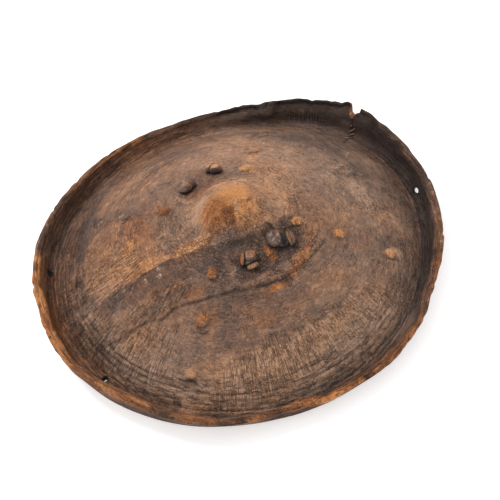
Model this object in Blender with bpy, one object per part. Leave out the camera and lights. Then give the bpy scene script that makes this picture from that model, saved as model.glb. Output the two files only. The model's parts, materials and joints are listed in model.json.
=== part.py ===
"""A round shield of thick moulded hide, lying face up on the ring under its trough.

The hide is one moulding: a central boss, a face that falls away from it, a trough, and a rim turned up
to a thick lip. Two hide straps cross the hollow behind the boss as the grip. Each strap passes through
the hide at both ends and is knotted on the face. A thong sews up a split under a gap in the rim.

Metres, +Z up. The straps run along Y. The origin is the middle of the outline, on the resting plane.
"""

import bmesh
import bpy
import math
from mathutils import Vector

# Hide
HIDE = 0.0070                 # wall of the hide
RIM_RADIUS = 0.2447           # mean radius to the middle of the lip
RIM_HEIGHT = 0.0290           # middle of the lip above the resting plane
LIP_RADIUS = 0.0052           # rounded edge of the rim
WALL_LEAN = math.radians(15)  # the rim leans out from vertical by this
TROUGH_BEND = 0.0130          # bend of the trough, at the middle of the wall
REST_FLAT = 0.0080            # width of the ring worn flat under the trough
DISH_SLOPE = math.radians(32)  # fall of the face where it meets the trough
DISH_POWER = 1.8              # how the face steepens from the middle outwards
BOSS_RADIUS = 0.0480
BOSS_HEIGHT = 0.0240
BOSS_POWER = 3.8              # blunt top, steep sides
BOSS_FOOT = 1.25              # softens the foot of the boss
BOSS_SPREAD = 0.12            # the boss reaches further by this share on its gentle side
BOSS_SPREAD_AT = math.radians(-30)

# The outline is drawn by hand: its departures from a circle, as (waves round the rim, height, place)
OUTLINE_WAVES = ((1, 0.0019, 45), (2, 0.0067, -2), (3, 0.0044, 9), (4, 0.0030, 19))
OUTLINE_FROM = 0.49           # share of the rim's radius inside which the rings are round
RIM_WARP = 0.0072             # the lip rises and falls by this, twice round
RIM_WARP_AT = math.radians(8.5)
# Stretches where the lip stands higher, as (rise, middle, half width): the patched one, and the hide that
# has curled up on both sides of the gap
LIP_RISES = ((0.0045, 34, 15), (0.0085, 17, 6))

# Twelve blunt bumps stand on four arms, as (angle of the arm, place of each between boss and trough)
BUMP_ARMS = (
    (46.5, (0.18, 0.46, 0.79)),
    (135.0, (0.21, 0.52, 0.74)),
    (222.5, (0.21, 0.51, 0.82)),
    (316.5, (0.17, 0.45, 0.81)),
)
BUMP_LENGTH = 0.0140
BUMP_WIDTH = 0.0125
BUMP_HEIGHT = 0.0032
BUMP_ROOT = 0.0020            # the bumps start this far inside the hide
BUMP_LEVELS = ((1.0, 0.2), (0.84, 0.8), (0.5, 1.0))   # their section, as shares of width and height
SQUARENESS = 3.0              # of bumps and knots from above: 2 is an ellipse, and more is squarer

# The grip's straps, and their ends as (angle, distance from the boss, knot length, width, turn)
STRAPS = {
    "grip_strap_left": ((105.0, 0.0265, 0.0240, 0.0160, 10), (253.0, 0.0235, 0.0215, 0.0185, -21)),
    "grip_strap_right": ((74.5, 0.0340, 0.0200, 0.0125, -35), (290.0, 0.0220, 0.0275, 0.0225, -29)),
}
STRAP_WIDTH = 0.0170
STRAP_THICK = 0.0045
STRAP_SAG = 0.0360            # drop of a strap's middle below its ends
STRAP_TAPER = 0.22            # share of a strap's run over which it opens from its neck to its width
STRAP_CLEARANCE = 0.0008      # round the strap in its hole
NECK_RADIUS = 0.0048          # the strap is rolled to this where it passes through the hide
KNOT_GAP = 0.0004             # between a knot and the hide
KNOT_HEIGHT = 0.0085
KNOT_GROOVE = 0.30            # depth of the fold across a knot, as a share of its height
FOLD_WIDTH = 0.14             # of the same fold, as a share of the knot's length
KNOT_LEVELS = ((0.5, 1.0), (0.82, 0.92), (0.98, 0.6), (1.0, 0.3), (0.92, 0.0))   # as for the bumps

# Thong holes through the rim's foot, as (angle, turn up the bend, swing from straight out, diameter)
RIM_HOLES = ((-13.0, 50, 48, 0.0080), (152.0, 60, 0, 0.0075), (196.0, -5, 0, 0.0065))

# Gap in the rim, and the sewn split below it
GAP_AT = math.radians(18.5)
GAP_WIDTH = 0.0152
GAP_DEPTH = 0.0160
# Its ragged edge, as shares of the width and depth, from one side round to the other
GAP_EDGE = ((-0.54, 1.4), (-0.5, 1.0), (-0.38, 0.43), (-0.09, 0.22), (0.13, 0.0), (0.40, 0.21), (0.5, 1.0), (0.52, 1.4))
SPLIT_WIDTH = 0.0009
STITCHES = 4
STITCH_PITCH = 0.0050
STITCH_LENGTH = 0.0085
STITCH_SLANT = -0.60          # the stitches lean by this much of their length
STITCH_START = math.radians(-20)   # up the bend, where the first stitch starts
STITCH_DEPTH = 0.0032         # of the thong's middle below the face, inside the hide
THONG_RADIUS = 0.0012
THONG_PROUD = 0.6             # of the thong's middle above the face, as a share of its radius
THONG_CLEARANCE = 0.0004

SIDES = 64                    # facets round the shield
STRAP_SIDES = 12
THONG_SIDES = 6
COIL_STEPS = 10               # of the thong's path, for each stitch
SHARP = math.radians(50)      # edges sharper than this stay crisp

# Section of the trough
FLAT_TURN = math.asin(REST_FLAT / 2 / (TROUGH_BEND + HIDE / 2))
BEND_HEIGHT = (TROUGH_BEND + HIDE / 2) * math.cos(FLAT_TURN)   # of the bend's middle
WALL_TURN = math.pi / 2 - WALL_LEAN   # the bend turns through this before the wall runs straight
WALL_FOOT = BEND_HEIGHT - TROUGH_BEND * math.cos(WALL_TURN)
WALL_RUN = (RIM_HEIGHT - WALL_FOOT) * math.tan(WALL_LEAN)
TROUGH_RADIUS = RIM_RADIUS - WALL_RUN - TROUGH_BEND * math.sin(WALL_TURN)
FACE, BACK = -HIDE / 2, HIDE / 2      # what each side of the hide adds to the bend's radius

# Where the section is cut: the boss by shares of its reach, and the rest by even steps
BOSS_CUTS = (0.2, 0.4, 0.56, 0.7, 0.8, 0.88, 0.945, 1.0)
BACK_BOSS_CUTS = (0.35, 0.65, 0.85, 1.0)
FACE_STEPS = 8
BACK_STEPS = 6
BEND_STEPS = 5
LIP_STEPS = 5
STRAP_STEPS = 14


def smooth(value, low, high):
    """0 below low, 1 above high, and a smooth rise between."""
    share = min(max((value - low) / (high - low), 0.0), 1.0)
    return share * share * (3 - 2 * share)


def bend_point(side, turn):
    """(radius, height) on one side of the trough's bend, turn radians outwards from its lowest point."""
    bend = TROUGH_BEND + side
    return TROUGH_RADIUS + bend * math.sin(turn), BEND_HEIGHT - bend * math.cos(turn)


def boss_reach(side, angle):
    """Radius of the boss's foot on one side of the hide."""
    spread = BOSS_SPREAD * (1 + math.cos(angle - BOSS_SPREAD_AT)) / 2
    return BOSS_RADIUS * (1 + spread) - (HIDE / 2 + side)


def dish_height(side, radius, angle):
    """Height of one side of the hide inside the trough."""
    end_radius, end_height = bend_point(side, -DISH_SLOPE)
    rise = math.tan(DISH_SLOPE) * end_radius / DISH_POWER
    height = end_height + rise * (1 - (radius / end_radius) ** DISH_POWER)
    share = min(radius / boss_reach(side, angle), 1.0)
    return height + BOSS_HEIGHT * (1 - share ** BOSS_POWER) ** BOSS_FOOT


def section(angle):
    """The hide's outline (radius, height) at this angle, from the middle of the face round to the back."""
    face = dish_points(FACE, BOSS_CUTS, FACE_STEPS, angle)
    for step in range(BEND_STEPS + 1):
        face.append(bend_point(FACE, -DISH_SLOPE + (WALL_TURN + DISH_SLOPE) * step / BEND_STEPS))
    lip = []
    for step in range(LIP_STEPS + 1):
        turn = WALL_LEAN + math.pi * (1 - step / LIP_STEPS)
        lip.append((RIM_RADIUS + LIP_RADIUS * math.cos(turn), RIM_HEIGHT + LIP_RADIUS * math.sin(turn)))
    back = dish_points(BACK, BACK_BOSS_CUTS, BACK_STEPS, angle)
    back.append(bend_point(BACK, -DISH_SLOPE))
    back.append((bend_point(BACK, -FLAT_TURN)[0], 0.0))
    back.append((bend_point(BACK, FLAT_TURN)[0], 0.0))
    for step in range(1, BEND_STEPS - 1):
        back.append(bend_point(BACK, FLAT_TURN + (WALL_TURN - FLAT_TURN) * step / (BEND_STEPS - 2)))
    return face + lip + back[::-1]


def dish_points(side, boss_cuts, steps, angle):
    """(radius, height) points along one side of the boss and the dish, short of the trough."""
    reach = boss_reach(side, angle)
    end = bend_point(side, -DISH_SLOPE)[0]
    radii = [reach * share for share in boss_cuts]
    radii += [reach + (end - reach) * step / steps for step in range(1, steps)]
    return [(radius, dish_height(side, radius, angle)) for radius in radii]


def rim_rise(angle):
    """How far the lip stands above its mean height at this angle."""
    total = RIM_WARP * math.cos(2 * (angle - RIM_WARP_AT))
    for rise, middle, half in LIP_RISES:
        away = abs((math.degrees(angle) - middle + 180) % 360 - 180)
        total += rise * (1 - smooth(away, half * 0.7, half * 1.2))
    return total


def place(radius, height, angle):
    """Point of the shield for a point of its section, with the hand-drawn outline and the warped rim."""
    wave = sum(size * math.cos(count * (angle - math.radians(at))) for count, size, at in OUTLINE_WAVES)
    reach = radius + wave * smooth(radius, RIM_RADIUS * OUTLINE_FROM, RIM_RADIUS)
    up_wall = smooth(height, HIDE, RIM_HEIGHT) if radius > TROUGH_RADIUS else 0.0
    return Vector((reach * math.cos(angle), reach * math.sin(angle), height + rim_rise(angle) * up_wall))


def face_frame(radius, angle):
    """(point, normal) of the face inside the trough."""
    step = HIDE / 10
    point = place(radius, dish_height(FACE, radius, angle), angle)
    outer = place(radius + step, dish_height(FACE, radius + step, angle), angle)
    beside = place(radius, dish_height(FACE, radius, angle + step), angle + step)
    return point, (outer - point).cross(beside - point).normalized()


HIDE_RINGS = [[place(*spot, math.tau * side / SIDES) for spot in section(math.tau * side / SIDES)]
              for side in range(SIDES)]


def outline_middle():
    """Middle of the box round the shield's outline."""
    spots = [spot for ring in HIDE_RINGS for spot in ring]
    across = [spot.x for spot in spots]
    along = [spot.y for spot in spots]
    return Vector(((min(across) + max(across)) / 2, (min(along) + max(along)) / 2, 0.0))


def loft(shape, rings, tips):
    """A closed solid through rings of equally many points, drawn in to a tip at each end."""
    first, last = (shape.verts.new(tip) for tip in tips)
    rows = [[shape.verts.new(point) for point in ring] for ring in rings]
    count = len(rows[0])
    faces = []
    for step in range(count):
        after = (step + 1) % count
        faces.append(shape.faces.new((first, rows[0][step], rows[0][after])))
        for row, below in zip(rows, rows[1:]):
            faces.append(shape.faces.new((row[step], below[step], below[after], row[after])))
        faces.append(shape.faces.new((last, rows[-1][after], rows[-1][step])))
    bmesh.ops.recalc_face_normals(shape, faces=faces)


def tube(shape, path, across, radius, sides):
    """A round tube along a path, with one direction across it that the path never follows."""
    rings = []
    for step, point in enumerate(path):
        along = path[min(step + 1, len(path) - 1)] - path[max(step - 1, 0)]
        side = along.cross(across).normalized()
        lift = side.cross(along).normalized()
        turns = [math.tau * corner / sides for corner in range(sides)]
        rings.append([point + radius * (side * math.cos(turn) + lift * math.sin(turn)) for turn in turns])
    loft(shape, rings, (path[0], path[-1]))


def add_object(name, shape, material=None):
    """Put a finished shape into the scene. One without a material only cuts or adds to another."""
    mesh = bpy.data.meshes.new(name)
    shape.to_mesh(mesh)
    shape.free()
    item = bpy.data.objects.new(name, mesh)
    item.location = -MIDDLE
    if material:
        mesh.shade_smooth()
        mesh.set_sharp_from_angle(angle=SHARP)
        mesh.materials.append(material)
    else:
        item.hide_render = True
        item.display_type = "WIRE"
    bpy.context.scene.collection.objects.link(item)
    return item


def combine(item, tool, operation):
    """Join a tool shape to an object, or cut it out."""
    change = item.modifiers.new(tool.name, "BOOLEAN")
    change.operation = operation
    change.solver = "EXACT"
    change.object = tool


def add_material(name, colour, roughness):
    """A matt leather finish."""
    material = bpy.data.materials.new(name)
    material.use_nodes = True
    shader = material.node_tree.nodes["Principled BSDF"]
    shader.inputs["Base Color"].default_value = (*colour, 1)
    shader.inputs["Roughness"].default_value = roughness
    return material


def mound_ring(centre, axes, size, scale, lift):
    """Points of a rounded rectangle, scaled about the centre and lifted along the third axis."""
    long, wide, up = axes
    ring = []
    for corner in range(STRAP_SIDES):
        turn = math.tau * corner / STRAP_SIDES
        square = abs(math.cos(turn) / size[0]) ** SQUARENESS + abs(math.sin(turn) / size[1]) ** SQUARENESS
        reach = scale * square ** (-1 / SQUARENESS) / 2
        ring.append(centre + reach * (long * math.cos(turn) + wide * math.sin(turn)) + up * lift)
    return ring


def bumps():
    """The twelve bumps, each with its root inside the hide."""
    shape = bmesh.new()
    end = bend_point(FACE, -DISH_SLOPE)[0]
    for degrees, places in BUMP_ARMS:
        angle = math.radians(degrees)
        outwards = Vector((math.cos(angle), math.sin(angle), 0))
        for share in places:
            point, up = face_frame(BOSS_RADIUS + (end - BOSS_RADIUS) * share, angle)
            wide = up.cross(outwards).normalized()
            axes = (wide.cross(up), wide, up)
            size = (BUMP_LENGTH, BUMP_WIDTH)
            rings = [mound_ring(point, axes, size, 1.0, -BUMP_ROOT)]
            for scale, share in BUMP_LEVELS:
                rings.append(mound_ring(point, axes, size, scale, BUMP_HEIGHT * share))
            loft(shape, rings, (point - up * BUMP_ROOT, point + up * BUMP_HEIGHT))
    return add_object("bump_forms", shape)


def strap_end(degrees, from_boss):
    """(point, normal) of the face in the middle of a strap's hole."""
    return face_frame(BOSS_RADIUS + from_boss, math.radians(degrees))


def holes():
    """Cutters for the straps' holes and for the thong holes round the rim's foot."""
    shape = bmesh.new()
    for ends in STRAPS.values():
        across = strap_across(ends)
        for degrees, from_boss, *_ in ends:
            point, up = strap_end(degrees, from_boss)
            path = [point + up * HIDE, point - up * HIDE * 2]
            tube(shape, path, across, NECK_RADIUS + STRAP_CLEARANCE, STRAP_SIDES)
    for degrees, turn_degrees, swing_degrees, diameter in RIM_HOLES:
        angle, turn, swing = (math.radians(value) for value in (degrees, turn_degrees, swing_degrees))
        point = place(*bend_point(0, turn), angle)
        heading = angle + swing
        level = Vector((math.cos(heading), math.sin(heading), 0))
        out = level * math.sin(turn) - Vector((0, 0, math.cos(turn)))
        path = [point - out * HIDE * 1.5, point + out * HIDE * 1.5]
        tube(shape, path, Vector((0, 0, 1)), diameter / 2, STRAP_SIDES)
    return add_object("hole_cutters", shape)


def rim_prism(name, outline, inner, outer):
    """A cutter through the rim at the gap, its outline given as (along the rim, height)."""
    shape = bmesh.new()
    out = Vector((math.cos(GAP_AT), math.sin(GAP_AT), 0))
    beside = Vector((-math.sin(GAP_AT), math.cos(GAP_AT), 0))
    rings = [[out * radius + beside * step + Vector((0, 0, height)) for step, height in outline]
             for radius in (inner, outer)]
    loft(shape, rings, [sum(ring, Vector()) / len(ring) for ring in rings])
    return add_object(name, shape)


def gap_and_split():
    """Cutters for the ragged gap in the rim and for the split that runs down from it."""
    low = RIM_HEIGHT + LIP_RADIUS + rim_rise(GAP_AT) - GAP_DEPTH
    gap = [(GAP_WIDTH * across, low + GAP_DEPTH * up) for across, up in GAP_EDGE]
    half = SPLIT_WIDTH / 2
    top = low + GAP_DEPTH / 2
    split = ((-half, -HIDE), (half, -HIDE), (half, top), (-half, top))
    inner = place(*bend_point(FACE, STITCH_START), GAP_AT).to_2d().length - STITCH_PITCH / 2
    outer = place(RIM_RADIUS + LIP_RADIUS, RIM_HEIGHT, GAP_AT).to_2d().length + HIDE
    gap_cutter = rim_prism("gap_cutter", gap, TROUGH_RADIUS, outer)
    return gap_cutter, rim_prism("split_cutter", split, inner, outer)


def stitch_point(run, lift):
    """(radius, height) this far from the first stitch, round the bend and up the wall, and lifted off the face."""
    turn = STITCH_START + run / (TROUGH_BEND + FACE)
    straight = max(turn - WALL_TURN, 0.0) * (TROUGH_BEND + FACE)
    radius, height = bend_point(FACE - lift, min(turn, WALL_TURN))
    return radius + straight * math.cos(WALL_TURN), height + straight * math.sin(WALL_TURN)


def thong_path():
    """The thong's middle: a coil along the split, with its lower half inside the hide."""
    steps = STITCHES * COIL_STEPS
    high = THONG_RADIUS * THONG_PROUD
    path = []
    for step in range(steps + 1):
        turns = -0.25 + (STITCHES - 0.5) * step / steps
        across = STITCH_LENGTH / 2 * math.cos(math.tau * turns)
        lift = (high - STITCH_DEPTH) / 2 + (high + STITCH_DEPTH) / 2 * math.sin(math.tau * turns)
        run = STITCH_PITCH * (turns + 0.5) + across * STITCH_SLANT
        path.append(place(*stitch_point(run, lift), GAP_AT + across / TROUGH_RADIUS))
    return path


def thong_tube(clearance):
    """The thong, or with a clearance the channel that it lies in."""
    shape = bmesh.new()
    ends = [place(*stitch_point(run, 0.0), GAP_AT) for run in (0.0, STITCHES * STITCH_PITCH)]
    path = thong_path()
    path[0] += (path[0] - path[1]).normalized() * clearance
    path[-1] += (path[-1] - path[-2]).normalized() * clearance
    tube(shape, path, ends[1] - ends[0], THONG_RADIUS + clearance, THONG_SIDES)
    return shape


def moulded_hide(material):
    """The hide, with its bumps, holes, gap and split."""
    shape = bmesh.new()
    rings = list(zip(*HIDE_RINGS))
    tops = [Vector((0, 0, dish_height(side, 0, 0))) for side in (FACE, BACK)]
    loft(shape, rings, tops)
    hide = add_object("moulded_hide", shape, material)
    combine(hide, bumps(), "UNION")
    channel = add_object("thong_cutter", thong_tube(THONG_CLEARANCE))
    for cutter in (holes(), *gap_and_split(), channel):
        combine(hide, cutter, "DIFFERENCE")


def strap_across(ends):
    """Level direction across a strap, square to the line between its holes."""
    near, far = (strap_end(degrees, from_boss)[0] for degrees, from_boss, *_ in ends)
    line = far - near
    return Vector((-line.y, line.x, 0)).normalized()


def knot_rings(end, across, heading):
    """Rings of one knot and its neck, and its tip. Heading is 1 where the strap leaves the knot, else -1."""
    degrees, from_boss, length, width, turn_degrees = end
    point, up = strap_end(degrees, from_boss)
    turn = math.radians(turn_degrees)
    wide = up.cross(Vector((math.cos(turn), math.sin(turn), 0))).normalized()
    axes = (wide.cross(up), wide * heading, up)
    rings = []
    for scale, share in KNOT_LEVELS:
        ring = mound_ring(point, axes, (length, width), scale, KNOT_GAP)
        for corner in ring:
            fold = KNOT_GROOVE * math.exp(-((corner - point).dot(axes[0]) / (length * FOLD_WIDTH)) ** 2)
            corner += up * KNOT_HEIGHT * share * (1 - fold)
        rings.append(ring)
    beside = up.cross(across).normalized() * heading
    rings.append(strap_ring(point + up * KNOT_GAP, across, beside, 0.0))
    return rings, point + up * (KNOT_GAP + KNOT_HEIGHT * (1 - KNOT_GROOVE))


def strap_ring(centre, across, through, flatness):
    """Points round a strap: a round neck where flatness is 0, and a flat strap where it is 1."""
    wide = NECK_RADIUS + (STRAP_WIDTH / 2 - NECK_RADIUS) * flatness
    thick = NECK_RADIUS + (STRAP_THICK / 2 - NECK_RADIUS) * flatness
    power = 1 - flatness / 2
    ring = []
    for corner in range(STRAP_SIDES):
        turn = math.tau * corner / STRAP_SIDES
        step = math.copysign(abs(math.cos(turn)) ** power, math.cos(turn))
        lift = math.copysign(abs(math.sin(turn)) ** power, math.sin(turn))
        ring.append(centre + across * wide * step + through * thick * lift)
    return ring


def strap_rings(ends, across):
    """Rings of a strap behind the hide, which hangs in an arch between its two holes."""
    (near, near_up), (far, far_up) = (strap_end(degrees, from_boss) for degrees, from_boss, *_ in ends)
    drop = STRAP_SAG * 4 / 3
    start = near - near_up * (HIDE + NECK_RADIUS)
    stop = far - far_up * (HIDE + NECK_RADIUS)
    handles = (start - near_up * drop, stop - far_up * drop)
    rings = []
    for step in range(STRAP_STEPS + 1):
        share = step / STRAP_STEPS
        rest = 1 - share
        centre = (start * rest ** 3 + handles[0] * 3 * rest ** 2 * share
                  + handles[1] * 3 * rest * share ** 2 + stop * share ** 3)
        along = ((handles[0] - start) * rest ** 2 + (handles[1] - handles[0]) * 2 * rest * share
                 + (stop - handles[1]) * share ** 2)
        flatness = smooth(min(share, rest), 0.0, STRAP_TAPER)
        rings.append(strap_ring(centre, across, across.cross(along).normalized(), flatness))
    return rings


def grip_strap(name, ends, material):
    """One strap of the grip, from the top of one knot to the top of the other."""
    shape = bmesh.new()
    across = strap_across(ends)
    first, first_tip = knot_rings(ends[0], across, 1)
    last, last_tip = knot_rings(ends[1], across, -1)
    loft(shape, first + strap_rings(ends, across) + last[::-1], (first_tip, last_tip))
    add_object(name, shape, material)


def repair_thong(material):
    """The thong that sews up the split."""
    add_object("repair_thong", thong_tube(0.0), material)


for item in list(bpy.data.objects):
    bpy.data.objects.remove(item)
MIDDLE = outline_middle()
moulded_hide(add_material("hide", (0.165, 0.085, 0.050), 0.72))
strap_leather = add_material("strap_leather", (0.120, 0.070, 0.042), 0.68)
for strap_name, strap_ends in STRAPS.items():
    grip_strap(strap_name, strap_ends, strap_leather)
repair_thong(add_material("thong_leather", (0.080, 0.052, 0.036), 0.75))
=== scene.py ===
# %% [markdown]
# # A round shield of moulded hide
#
# The real shield is one thick piece of hide that was soaked, pressed into shape and left to dry hard.
# It has a boss in the middle, a face that falls away to a trough, and a rim that turns up to a thick lip.
# Straps come through the hide and end in four knots on the face.
# This lesson loads the packed model first, because every piece made here has to fit the solids in it.

# %% Load the packed shield
import json
import math
from itertools import product

import bmesh
import bpy
import numpy as np
from mathutils.bvhtree import BVHTree
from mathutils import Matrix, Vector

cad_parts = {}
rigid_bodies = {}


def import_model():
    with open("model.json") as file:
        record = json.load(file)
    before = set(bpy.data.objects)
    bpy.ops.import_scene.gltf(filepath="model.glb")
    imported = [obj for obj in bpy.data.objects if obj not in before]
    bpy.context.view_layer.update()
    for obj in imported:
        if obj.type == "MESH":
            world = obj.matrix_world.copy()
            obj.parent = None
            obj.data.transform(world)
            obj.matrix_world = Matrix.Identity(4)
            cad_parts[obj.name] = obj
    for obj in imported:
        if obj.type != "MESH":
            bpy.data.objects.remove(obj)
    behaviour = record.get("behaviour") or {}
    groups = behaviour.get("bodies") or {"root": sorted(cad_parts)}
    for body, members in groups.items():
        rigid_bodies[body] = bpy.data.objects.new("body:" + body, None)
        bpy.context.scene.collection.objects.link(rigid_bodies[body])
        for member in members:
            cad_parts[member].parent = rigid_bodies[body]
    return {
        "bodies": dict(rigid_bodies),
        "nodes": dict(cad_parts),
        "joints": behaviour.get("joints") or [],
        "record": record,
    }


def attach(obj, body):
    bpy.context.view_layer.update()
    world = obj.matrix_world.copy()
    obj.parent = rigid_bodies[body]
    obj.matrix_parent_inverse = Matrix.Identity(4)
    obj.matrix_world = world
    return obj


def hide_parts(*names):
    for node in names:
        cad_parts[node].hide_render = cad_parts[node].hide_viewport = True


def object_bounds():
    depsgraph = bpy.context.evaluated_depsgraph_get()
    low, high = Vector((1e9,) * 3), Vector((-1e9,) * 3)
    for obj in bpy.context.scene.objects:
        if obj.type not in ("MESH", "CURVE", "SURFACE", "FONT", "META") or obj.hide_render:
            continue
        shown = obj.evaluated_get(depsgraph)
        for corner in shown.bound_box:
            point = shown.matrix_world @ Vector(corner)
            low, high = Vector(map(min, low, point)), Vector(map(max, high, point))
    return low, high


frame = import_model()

cad_box = [list(corner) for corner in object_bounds()]
print("the packed shield's box:", cad_box)

# %% [markdown]
# ## The camera
#
# The camera looks down on the shield from the front left, and it is turned a little about its own axis.
# Its place and angles could be guessed by eye. Here they were worked out beforehand from the outline of
# the rim and the places of the knots and bumps, and they are written as plain numbers.

# %% Camera
view = bpy.data.objects.new("camera", bpy.data.cameras.new("camera"))
view.location = (-0.27321, -0.58208, 0.80193)
view.rotation_euler = [math.radians(turn) for turn in (38.53, 5.499, -32.862)]
view.data.sensor_width = 36
view.data.lens = 58.9
bpy.context.scene.collection.objects.link(view)
bpy.context.scene.camera = view
print("camera", [round(place, 3) for place in view.location])

# %% [markdown]
# ## Floor and light
#
# The shield lies on a plain white floor in very soft light, as in a light tent.
# A white sky gives light from all sides, and one large lamp high up behind the shield makes the top of
# each knot bright and leaves a soft shadow in front of it.
# The colours are shown as they are, without a film look, so that white stays white.

# %% Floor, sky and lamp
floor_mesh = bpy.data.meshes.new("floor")
floor_mesh.from_pydata([(-6, -6, 0), (6, -6, 0), (6, 6, 0), (-6, 6, 0)], [], [(0, 1, 2, 3)])
floor = bpy.data.objects.new("floor", floor_mesh)
bpy.context.scene.collection.objects.link(floor)
paper = bpy.data.materials.new("white_paper")
paper.use_nodes = True
for name, value in (("Base Color", (0.94, 0.94, 0.94, 1)), ("Roughness", 0.9),
                    ("Emission Color", (1, 1, 1, 1)), ("Emission Strength", 0.40)):
    paper.node_tree.nodes["Principled BSDF"].inputs[name].default_value = value
floor_mesh.materials.append(paper)

sky = bpy.data.worlds.new("sky")
bpy.context.scene.world = sky
sky.use_nodes = True
sky.node_tree.nodes["Background"].inputs["Color"].default_value = (1, 1, 1, 1)
sky.node_tree.nodes["Background"].inputs["Strength"].default_value = 0.86
bpy.context.scene.view_settings.view_transform = "Standard"

window = bpy.data.objects.new("window", bpy.data.lights.new("window", "AREA"))
window.location = (-0.35, 1.15, 1.9)
window.rotation_euler = (-window.location).to_track_quat("-Z", "Y").to_euler()     # it faces the shield
window.data.size, window.data.energy = 0.9, 32
bpy.context.scene.collection.objects.link(window)
print("a lamp", round(window.location.length, 2), "m away")

# %% [markdown]
# ## The form of the hide
#
# The hide's section is a smooth line from the middle of the face, down the dish, round the trough, up the
# rim and over the lip. It is turned round the middle, and the outline is then pushed in and out a little,
# because the real one was drawn by hand. These are the measures of the solid, in metres.
# They are worked out for whole arrays of points at once, which is quick for a fine mesh.

# %% Measures of the hide
MIDDLE = np.array([0.0053, -0.0001, 0.0])    # middle of the outline, seen from the boss
HIDE = 0.0070
RIM_RADIUS = 0.2447
RIM_HEIGHT = 0.0290
LIP_RADIUS = 0.0052
WALL_LEAN = math.radians(15)
TROUGH_BEND = 0.0130
REST_FLAT = 0.0080
DISH_SLOPE = math.radians(32)
DISH_POWER = 1.8
BOSS_RADIUS, BOSS_HEIGHT, BOSS_POWER, BOSS_FOOT = 0.0480, 0.0240, 3.8, 1.25
BOSS_SPREAD, BOSS_SPREAD_AT = 0.12, math.radians(-30)
OUTLINE_WAVES = ((1, 0.0019, 45), (2, 0.0067, -2), (3, 0.0044, 9), (4, 0.0030, 19))
OUTLINE_FROM = 0.49
RIM_WARP, RIM_WARP_AT = 0.0072, math.radians(8.5)
LIP_RISES = ((0.0045, 34, 15), (0.0085, 17, 6))     # rise, middle and half width in degrees
WALL_FROM = 0.2275     # radius outside which the hide counts as wall
FACE, BACK = -HIDE / 2, HIDE / 2
FLAT_TURN = math.asin(REST_FLAT / 2 / (TROUGH_BEND + HIDE / 2))
BEND_HEIGHT = (TROUGH_BEND + HIDE / 2) * math.cos(FLAT_TURN)
WALL_TURN = math.pi / 2 - WALL_LEAN
WALL_FOOT = BEND_HEIGHT - TROUGH_BEND * math.cos(WALL_TURN)
WALL_RUN = (RIM_HEIGHT - WALL_FOOT) * math.tan(WALL_LEAN)
TROUGH_RADIUS = RIM_RADIUS - WALL_RUN - TROUGH_BEND * math.sin(WALL_TURN)


def smooth(value, low, high):
    """0 below low, 1 above high, and a smooth rise between."""
    share = np.clip((np.asarray(value, float) - low) / (high - low), 0, 1)
    return share * share * (3 - 2 * share)


def bend_point(side, turn):
    """(radius, height) on one side of the trough's bend."""
    bend = TROUGH_BEND + side
    return TROUGH_RADIUS + bend * np.sin(turn), BEND_HEIGHT - bend * np.cos(turn)


def dish_height(side, radius, angle):
    """Height of one side of the hide inside the trough."""
    end_radius, end_height = bend_point(side, -DISH_SLOPE)
    rise = math.tan(DISH_SLOPE) * end_radius / DISH_POWER
    spread = BOSS_SPREAD * (1 + np.cos(angle - BOSS_SPREAD_AT)) / 2
    share = np.minimum(radius / (BOSS_RADIUS * (1 + spread) - (HIDE / 2 + side)), 1.0)
    boss = BOSS_HEIGHT * (1 - share ** BOSS_POWER) ** BOSS_FOOT
    return end_height + rise * (1 - (radius / end_radius) ** DISH_POWER) + boss


def rim_rise(angle):
    """How far the lip stands above its mean height at this angle."""
    total = RIM_WARP * np.cos(2 * (angle - RIM_WARP_AT))
    for rise, middle, half in LIP_RISES:
        away = abs((np.degrees(angle) - middle + 180) % 360 - 180)
        total = total + rise * (1 - smooth(away, half * 0.7, half * 1.2))
    return total


def place(radius, height, angle):
    """Points of the shield for points of its section, seen from the boss."""
    wave = sum(size * np.cos(count * (angle - math.radians(at))) for count, size, at in OUTLINE_WAVES)
    reach = radius + wave * smooth(radius, RIM_RADIUS * OUTLINE_FROM, RIM_RADIUS)
    up_wall = np.where(radius > TROUGH_RADIUS, smooth(height, HIDE, RIM_HEIGHT), 0.0)
    return np.stack((reach * np.cos(angle), reach * np.sin(angle), height + rim_rise(angle) * up_wall), -1)


print("the lip stands from", round(1000 * (RIM_HEIGHT + LIP_RADIUS - RIM_WARP), 1), "mm up")

# %% [markdown]
# ## Rings of the fine mesh
#
# A wheel of points is the natural mesh for a round thing, but its points crowd together in the middle and
# lie far apart at the rim. So the number of points round a ring doubles as the rings grow, which keeps
# the mesh about equally fine all over. The back is plain and gets a coarser mesh.

# %% Rings from the middle of the face, over the lip, to the middle of the back
RIM_COUNT, BACK_COUNT = 640, 160
RING_COUNTS = ((0.008, 40), (0.017, 80), (0.036, 160), (0.074, 320), (1.0, RIM_COUNT))
stations = []     # (points round, radius, height or None on the dish, side)


def count_at(radius):
    """Points round a ring of this radius."""
    return next(count for reach, count in RING_COUNTS if radius < reach)


def face_radii():
    """Radii of the rings on the face: even steps along its slope, a little longer further out."""
    end = float(bend_point(FACE, -DISH_SLOPE)[0])
    radius, found = 0.0011, []
    while radius < end - 0.001:
        found.append(radius)
        slope = float(dish_height(FACE, radius + 1e-5, 2.0) - dish_height(FACE, radius, 2.0)) / 1e-5
        step = np.interp(radius, (0.0, 0.07, 0.11, end), (0.0011, 0.0013, 0.0019, 0.0021))
        radius += step / math.hypot(1, slope)
    return found


def straight_stations(count, start, stop, shares, side):
    """Rings along a straight run of the section, between two points of (radius, height)."""
    return [(count, start[0] + (stop[0] - start[0]) * share, start[1] + (stop[1] - start[1]) * share, side)
            for share in shares]


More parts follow.
